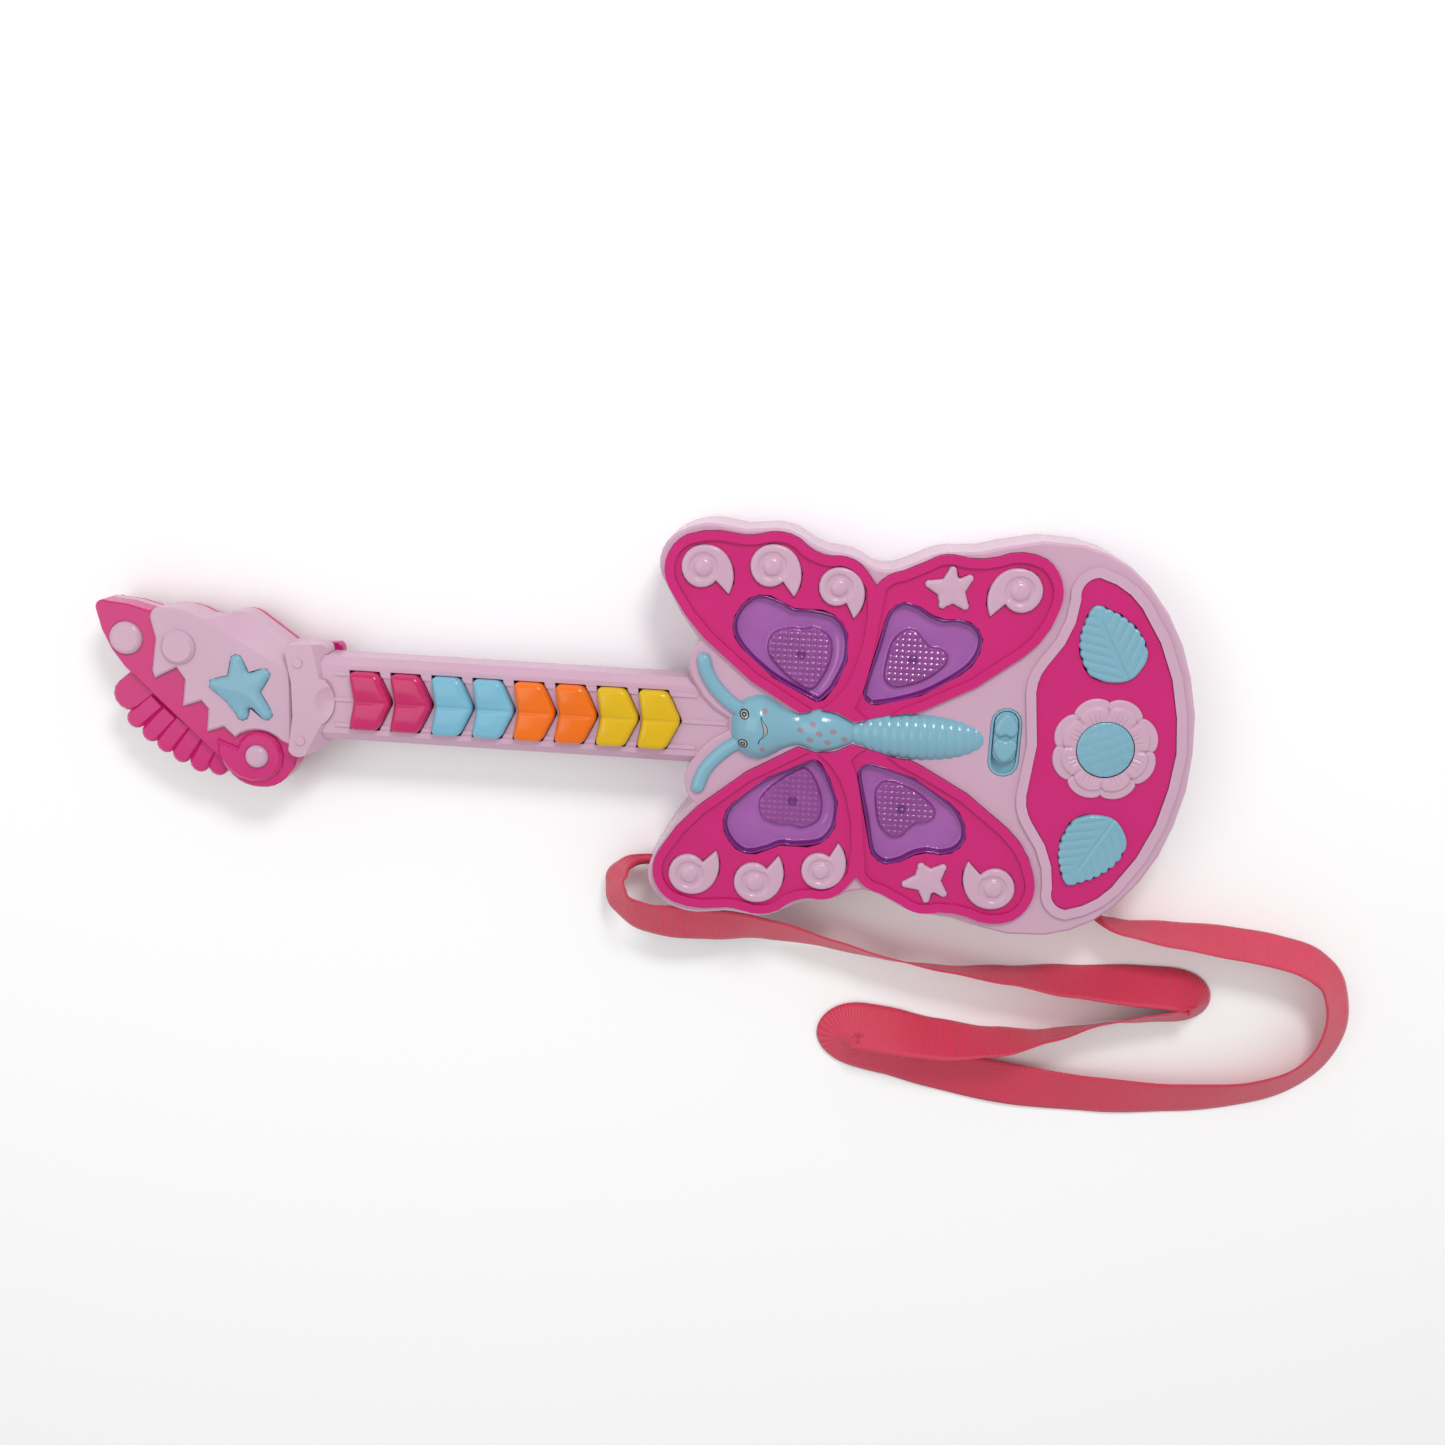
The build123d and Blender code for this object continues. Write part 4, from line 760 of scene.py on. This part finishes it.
def starLoop(star, side):
    cx, cy = star["place"]
    loop = []
    tips = star["tips"]
    for near, far in zip(tips, tips[1:] + tips[:1]):
        a, b = math.atan2(near[1], near[0]), math.atan2(far[1], far[0])
        b += 2 * math.pi if b < a else 0
        reach = math.hypot(*near) - star["round"]
        for t in np.linspace(-math.pi / 2, math.pi / 2, 9):
            loop.append((reach * math.cos(a) + star["round"] * math.cos(a + t),
                         reach * math.sin(a) + star["round"] * math.sin(a + t)))
        for t in (-0.5, 0, 0.5):
            mid, waist = (a + b) / 2 + 0.24 * t, star["waist"] * (1 + 0.16 * abs(t))
            loop.append((waist * math.cos(mid), waist * math.sin(mid)))
    return [(cx + u, side * (cy + v)) for u, v in loop]


def makeStar(name, node, star, side, color, top, foot):
    def height(x, y, d):
        return top - shoulder(d, star["bevel"]) + star["hip"] * np.minimum(1, d / star["waist"])
    rings = tuple(star["bevel"] * t for t in (0.08, 0.25, 0.5, 0.8, 1.15))
    obj = cushion(name, starLoop(star, side), foot, height, finish[color], 0.5, rings, 0.5)
    settled(obj, node)


for sideName, side in (("upper", 1), ("lower", -1)):
    makeStar(f"star_{sideName}", f"star_key_{sideName}", keyStar, side, "palePink",
             face + keyStar["rise"], face - keyFoot)
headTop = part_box("head_star")[1].z / mm - headStar["hip"]
makeStar("headStar", "head_star", headStar, 1, "skyBlue", headTop, headTop - headStar["deep"])
print("stars cut")


# ---- leaves ----
leaf = {"tip": (73.5, 67.2), "stalk": (92.6, 33.6), "scallop": 5.3, "bite": 0.95, "rise": 2.7,
        "round": 1.2, "swell": 0.55, "groove": 0.5, "long": 33,
        "edge": [(73.5, 67.2), (81.5, 65.6), (89, 61.8), (95.8, 55.6), (99.6, 47.5), (98.4, 40.6), (92.6, 33.6),
                 (82.5, 32.2), (74.2, 35.2), (70.2, 41.5), (68.2, 49), (69.0, 57.5)]}


def makeLeaf(name, node, side):
    tip, stalk = np.array(leaf["tip"]), np.array(leaf["stalk"])
    rib = (tip - stalk) / np.linalg.norm(tip - stalk)
    across = np.array([-rib[1], rib[0]])

    def veins(points):
        rel = np.asarray(points) - stalk
        s, t = rel @ rib, rel @ across
        return s, t, (s - 0.85 * np.abs(t)) / leaf["scallop"]
    envelope = spaced(smoothLoop(leaf["edge"], 8), 0.45)
    s, t, phase = veins(envelope)
    toothed = smoothStep((s - 4) / 5) * smoothStep((np.abs(t) - 1) / 3)
    bite = leaf["bite"] * toothed * (1 - np.abs(np.sin(np.pi * phase)) ** 0.7)
    middle = envelope.mean(0)
    pull = middle - envelope
    envelope = envelope + pull / np.linalg.norm(pull, axis=1)[:, None] * bite[:, None]
    top = face + leaf["rise"]

    def height(x, y, d):
        s, t, phase = veins(np.stack([x, side * y], axis=1))
        lobe = np.abs(np.sin(np.pi * phase)) ** 0.6 - 1
        strength = smoothStep((np.abs(t) - 0.5) / 3.5) * smoothStep((s + 3) / 6)
        spine = np.exp(-(t / leaf["groove"]) ** 2) * smoothStep((leaf["long"] - s) / 6)
        return (top - shoulder(d, leaf["round"]) + leaf["swell"] * lobe * strength
                - leaf["groove"] * spine)
    obj = cushion(name, flipped(envelope, side), face - keyFoot, height, finish["skyBlue"], 0.4,
                  (0.1, 0.3, 0.6, 1.0), 0.45)
    settled(obj, node)


makeLeaf("leaf_upper", "leaf_button_upper", 1)
makeLeaf("leaf_lower", "leaf_button_lower", -1)
print("leaves veined")


# ---- flower ----
flower = {"x": 85.0, "notch": 22.2, "crown": 25.0, "step": 0.86, "disc": 13.3, "opening": 13.6,
          "petals": 8, "flange": 1.15, "petal": 1.1, "valley": 0.85, "line": 0.4, "lines": (-0.17, 0.0, 0.17),
          "rings": 46, "turns": 448}
flowerDisc = {"turn": 24, "rise": 3.5, "cell": 4.9, "groove": 0.42, "dome": 0.9}


def around(r, angle, z):
    return ((flower["x"] + r * math.cos(angle)) * mm, r * math.sin(angle) * mm, z * mm)


def makePetals():
    rings, turns = flower["rings"], flower["turns"]
    base = face + fieldRise
    verts, faces = [], []
    for j in range(turns):
        angle = 2 * math.pi * j / turns
        swing = abs(math.sin(flower["petals"] / 2 * angle)) ** 0.62
        outer = flower["notch"] + (flower["crown"] - flower["notch"]) * swing
        inner = outer * flower["step"]
        offset = (angle / (2 * math.pi) * flower["petals"]) % 1 - 0.5
        for k in range(rings):
            share = k / (rings - 1)
            r = flower["opening"] + (outer - flower["opening"]) * (1 - (1 - share) ** 1.35)
            flange = flower["flange"] - shoulder(np.array([outer - r]), 0.9)[0]
            petal = flower["petal"] * smoothStep((inner - r) / 1.3)
            petal *= 0.35 + 0.65 * smoothStep((r - 12.5) / 5)
            wide = 2 * math.pi / flower["petals"] * r
            valley = -flower["valley"] * math.exp(-((0.5 - abs(offset)) * wide / 0.75) ** 2)
            valley *= float(smoothStep((r - 14) / 3))
            lines = sum(math.exp(-((offset - o) * wide / 0.26) ** 2) for o in flower["lines"])
            lines *= -flower["line"] * float(1 - smoothStep((r - 16.8) / 1.6))
            z = base + flange + petal + valley * (0.5 if r > inner else 1.0) + lines
            verts.append(around(r, angle, z))
        verts += [around(outer, angle, base - 0.1), around(flower["opening"], angle, base - 0.1)]
    row = rings + 2
    for j in range(turns):
        a, b = j * row, (j + 1) % turns * row
        for k in range(rings):
            faces.append((a + k, a + k + 1, b + k + 1, b + k))
        faces.append((b + rings + 1, b, a, a + rings + 1))
    obj = meshPiece("flowerPetals", verts, faces, finish["palePink"])
    settled(obj, "flower_petals")


def makeDisc():
    loop = [(flower["x"] + flower["disc"] * math.cos(t), flower["disc"] * math.sin(t))
            for t in np.linspace(0, 2 * math.pi, 96, endpoint=False)]
    turn = math.radians(flowerDisc["turn"])
    top, cell = face + flowerDisc["rise"], flowerDisc["cell"]

    def height(x, y, d):
        u = (x - flower["x"]) * math.cos(turn) + y * math.sin(turn)
        v = -(x - flower["x"]) * math.sin(turn) + y * math.cos(turn)
        cells = np.abs(np.sin(math.pi * u / cell)) ** 0.35 * np.abs(np.sin(math.pi * v / cell)) ** 0.35
        dome = -flowerDisc["dome"] * (np.hypot(x - flower["x"], y) / flower["disc"]) ** 2
        return top - shoulder(d, 1.0) * 0.8 + dome + flowerDisc["groove"] * (cells - 1)
    obj = cushion("flowerDisc", loop, face - keyFoot, height, finish["skyBlue"], 0.33,
                  (0.1, 0.3, 0.6, 0.9), 0.6)
    settled(obj, "flower_button")


makePetals()
makeDisc()
print("flower formed")


# ---- lenses ----
lenses = {
    "fore": {"edge": [(-71, 61), (-64, 57.8), (-57, 57.8), (-44.6, 55.3), (-38.5, 47), (-38, 34.5), (-42.5, 23),
                      (-44.7, 19.3), (-49.7, 14.3), (-53.5, 15.2), (-73, 25), (-88, 38), (-92.4, 48),
                      (-89, 57.4), (-81, 63.2)],
             "heart": [(-75.5, 36), (-74, 45), (-66, 48.4), (-60, 48.2), (-54, 49.2), (-46.6, 45), (-45.2, 36.5),
                       (-47.5, 28), (-51.5, 21), (-54.5, 19.2), (-58.5, 20.4), (-68, 27)]},
    "tail": {"edge": [(-29.4, 21), (-27.8, 16), (-22.5, 14.4), (-2, 20.3), (15, 31), (22.3, 39.5), (24, 48.5),
                      (20, 54.7), (12.5, 57.2), (6, 56.7), (0, 58.4), (-6, 62), (-13, 63.8), (-18.7, 60.8),
                      (-21.5, 55), (-24.3, 42)],
             "heart": [(-20.5, 30), (-18, 44), (-12, 50.5), (-6.5, 50.3), (-3, 46.5), (0.5, 43.4), (5, 42.6),
                       (8.8, 39.8), (8, 34.5), (-1, 27), (-13, 22.8), (-18.8, 24.6)]},
    "drop": 3.6, "rise": 1.5, "pitch": 2.75, "spike": 1.7, "rim": 0.8, "slope": 1.5, "wall": 1.6,
    "lamp": 2.4,
}


def makeLens(name, node, shape, side):
    edge = flipped(smoothLoop(shape["edge"], 8), side)
    heart = spaced(flipped(smoothLoop(shape["heart"], 8), side), 0.6)
    top, floor = face + fieldRise, face + fieldRise - lenses["drop"]
    rim, slope, pitch = lenses["rim"], lenses["slope"], lenses["pitch"]
    lamp = heart.mean(0)

    def height(x, y, d):
        points = np.stack([x, y], axis=1)
        within = inside(heart, points)
        near = edgeDistance(heart, points)
        rise = np.where(within, lenses["rise"] * smoothStep(near / 0.7), 0)
        u, v = np.abs((x / pitch) % 1 - 0.5), np.abs((y / pitch) % 1 - 0.5)
        spikes = (0.5 - np.maximum(u, v)) * lenses["spike"] * within * smoothStep((near - 0.5) / 0.8)
        swell = -0.35 * smoothStep((4 - near) / 3) * ~within
        wall = top - (top - floor) * smoothStep((d - rim) / slope)
        return np.where(d < rim, top - shoulder(d, 0.5), wall) + rise + spikes + swell

    def pick(x, y, d):
        points = np.stack([x, y], axis=1)
        lit = np.hypot(x - lamp[0], y - lamp[1]) < lenses["lamp"]
        middle = np.where(inside(heart, points), np.where(lit, 1, 2), 0)
        return np.where(d < rim + 0.75 * slope, 1, middle)
    tints = [finish["lens"], finish["lensRim"], finish["heartFloor"]]
    obj = cushion(name, edge, floor - lenses["wall"], height, tints, 0.46,
                  (0.15, 0.4, 0.8, 1.1, 1.5, 1.9, 2.3), 0.7, pick)
    settled(obj, node)


for sideName, side in (("upper", 1), ("lower", -1)):
    for wing in ("fore", "tail"):
        makeLens(f"{wing}Lens_{sideName}", f"{wing}_lens_{sideName}", lenses[wing], side)
print("lenses moulded")


# ---- neck keys ----
neckKeys = {"first": -276.3, "pitch": 20.04, "square": 14.2, "tip": 21.2, "notch": 2.6, "half": 14.3,
            "round": 2.6, "corner": 3.4, "deep": 6.5, "crease": 0.85,
            "colors": ("keyPink", "keyBlue", "keyOrange", "keyYellow"),
            "slots": ("magenta", "sky_blue", "orange", "yellow")}
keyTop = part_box("neck_key_1")[1].z / mm


def makeNeckKey(k):
    x0 = neckKeys["first"] + k * neckKeys["pitch"]
    half, square, tip, notch = (neckKeys[n] for n in ("half", "square", "tip", "notch"))
    corners = [(x0, half), (x0 + notch, 0), (x0, -half), (x0 + square, -half), (x0 + tip, 0), (x0 + square, half)]
    loop = roundedLoop(corners, neckKeys["corner"])

    def height(x, y, d):
        crease = np.exp(-(y / 0.8) ** 2) * (neckKeys["crease"] - 0.5 * (x - x0) / tip)
        away = np.hypot((np.abs(y) - half / 2) / half * 1.6, (x - x0 - square / 2) / square)
        lobe = 0.45 * smoothStep(1 - away)
        return keyTop - 0.35 - shoulder(d, neckKeys["round"]) - crease + lobe
    obj = cushion(f"neckKey_{k + 1}", loop, keyTop - neckKeys["deep"], height,
                  finish[neckKeys["colors"][k // 2]], 0.6, (0.08, 0.25, 0.55, 1.0, 1.6, 2.2))
    settled(obj, f"neck_key_{k + 1}")


for k in range(8):
    makeNeckKey(k)
print("neck keys moulded")


# ---- switch ----
switch = {"x": 38.5, "width": 11.3, "heart": 2.0, "base": 2.6, "round": 2.2,
          "hearts": [(0, 1.2), (2.6, 0.4), (5.0, 1.8), (5.5, 5.0), (4.2, 8.2), (2.4, 10.6), (0, 11.8)]}


def makeSwitch():
    low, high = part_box("switch_knob")
    middle, half = (low.y + high.y) / 2 / mm, (high.y - low.y) / 2 / mm
    radius = min(switch["width"], (high.x - low.x) / mm) / 2 - 0.2
    base = high.z / mm - 1.8
    loop = [(switch["x"] + radius * math.cos(t),
             middle + math.copysign(half - radius, math.sin(t) + 1e-9) + radius * math.sin(t))
            for t in np.linspace(0.01, 2 * math.pi + 0.01, 60, endpoint=False)]

    def height(x, y, d):
        return base - shoulder(d, 0.6)
    knob = cushion("switchKnob", loop, base - switch["base"], height, finish["skyBlue"], 0.9,
                   (0.2, 0.5, 0.9), 0.8)
    settled(knob, "switch_knob")
    points = switch["hearts"]
    outline = points + [(-x, y) for x, y in reversed(points)][1:-1]
    for k, turn in enumerate((1, -1)):
        heart = [(switch["x"] + x, middle + turn * y) for x, y in smoothLoop(outline, 6)]

        def dome(x, y, d):
            return base + switch["heart"] - shoulder(d, switch["round"]) * 0.85
        piece = cushion(f"switchHeart_{k}", heart, base - 0.2, dome, finish["skyBlue"], 0.5,
                        (0.15, 0.4, 0.8, 1.3, 1.9), 0.5)
        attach(piece, frame["nodes"]["switch_knob"]["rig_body"])


makeSwitch()
print("switch formed")


# ---- screws ----
screws = {"places": [(-89.5, 87.2), (-89.5, -87.2), (61.5, 88.6), (61.5, -88.6), (119.6, 0)],
          "head": 2.3, "depth": 8.2, "door": (33.7, 0), "doorHead": 1.25, "doorDepth": 0.9}


def makeScrew(name, x, y, radius, z):
    # a pan head that faces down, with a cross recess
    rings, turns = (0.0, 0.35, 0.6, 0.8, 0.93, 1.0), 40
    verts, faces = [], []
    for share in rings:
        for j in range(turns):
            a = 2 * math.pi * j / turns
            u, v = radius * share * math.cos(a), radius * share * math.sin(a)
            rise = 0.35 * radius * (1 - share ** 2) ** 0.6
            arm = min(abs(u), abs(v)) < 0.17 * radius and share < 0.7
            verts.append(((x + u) * mm, (y + v) * mm, (z - rise + (0.4 * radius if arm else 0)) * mm))
    for k in range(len(rings) - 1):
        for j in range(turns):
            a, b = k * turns + j, k * turns + (j + 1) % turns
            faces.append((a, a + turns, b + turns, b))
    obj = meshPiece(name, verts, faces, finish["contact"], smooth=False)
    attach(obj, frame["nodes"]["rear_shell"]["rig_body"])


for k, (x, y) in enumerate(screws["places"]):
    makeScrew(f"screw_{k + 1}", x, y, screws["head"], screws["depth"])
makeScrew("doorScrew", *screws["door"], screws["doorHead"], screws["doorDepth"])
print("screws driven")


# ---- studio ----
studio = {"floor": srgb(246, 246, 246), "size": 4.0, "horizon": 0.95, "zenith": 0.55,
          "lamps": {"keyLight": {"place": (0.2, 0.95, 1.0), "size": (0.36, 0.26), "power": 8.5},
                    "fillLight": {"place": (-0.75, 0.1, 1.2), "size": (0.9, 0.9), "power": 4.0}}}


def makeStudio():
    bpy.context.scene.view_settings.view_transform = "Standard"
    material, shader = newMaterial("paleFloor")
    pale = studio["floor"]
    link(material, mixOf(material, objectNoise(material, 3.0), tuple(0.99 * c for c in pale), pale),
         shader.inputs["Base Color"])
    shader.inputs["Roughness"].default_value = 0.8
    size = studio["size"]
    corners = [(-size, -size, 0), (size, -size, 0), (size, size, 0), (-size, size, 0)]
    floor = meshPiece("studioFloor", corners, [(0, 1, 2, 3)], material)
    floor.location.z = -0.0002
    world = bpy.data.worlds.new("studioAir")
    bpy.context.scene.world = world
    world.use_nodes = True
    tree = world.node_tree
    air = tree.nodes["Background"]
    air.inputs["Color"].default_value = (1, 1, 1, 1)
    place = tree.nodes.new("ShaderNodeTexCoord")
    parts = tree.nodes.new("ShaderNodeSeparateXYZ")
    ramp = tree.nodes.new("ShaderNodeMapRange")
    ramp.inputs["From Min"].default_value = 0.0
    ramp.inputs["From Max"].default_value = 1.0
    ramp.inputs["To Min"].default_value = studio["horizon"]
    ramp.inputs["To Max"].default_value = studio["zenith"]
    tree.links.new(place.outputs["Generated"], parts.inputs["Vector"])
    tree.links.new(parts.outputs["Z"], ramp.inputs["Value"])
    tree.links.new(ramp.outputs["Result"], air.inputs["Strength"])
    for name, lamp in studio["lamps"].items():
        data = bpy.data.lights.new(name, "AREA")
        data.shape = "RECTANGLE"
        data.size, data.size_y = lamp["size"]
        data.energy = lamp["power"]
        obj = bpy.data.objects.new(name, data)
        obj.location = lamp["place"]
        aim = Vector((-0.05, 0, 0)) - obj.location
        obj.rotation_euler = aim.to_track_quat("-Z", "Y").to_euler()
        bpy.context.scene.collection.objects.link(obj)


makeStudio()
print("studio lit")
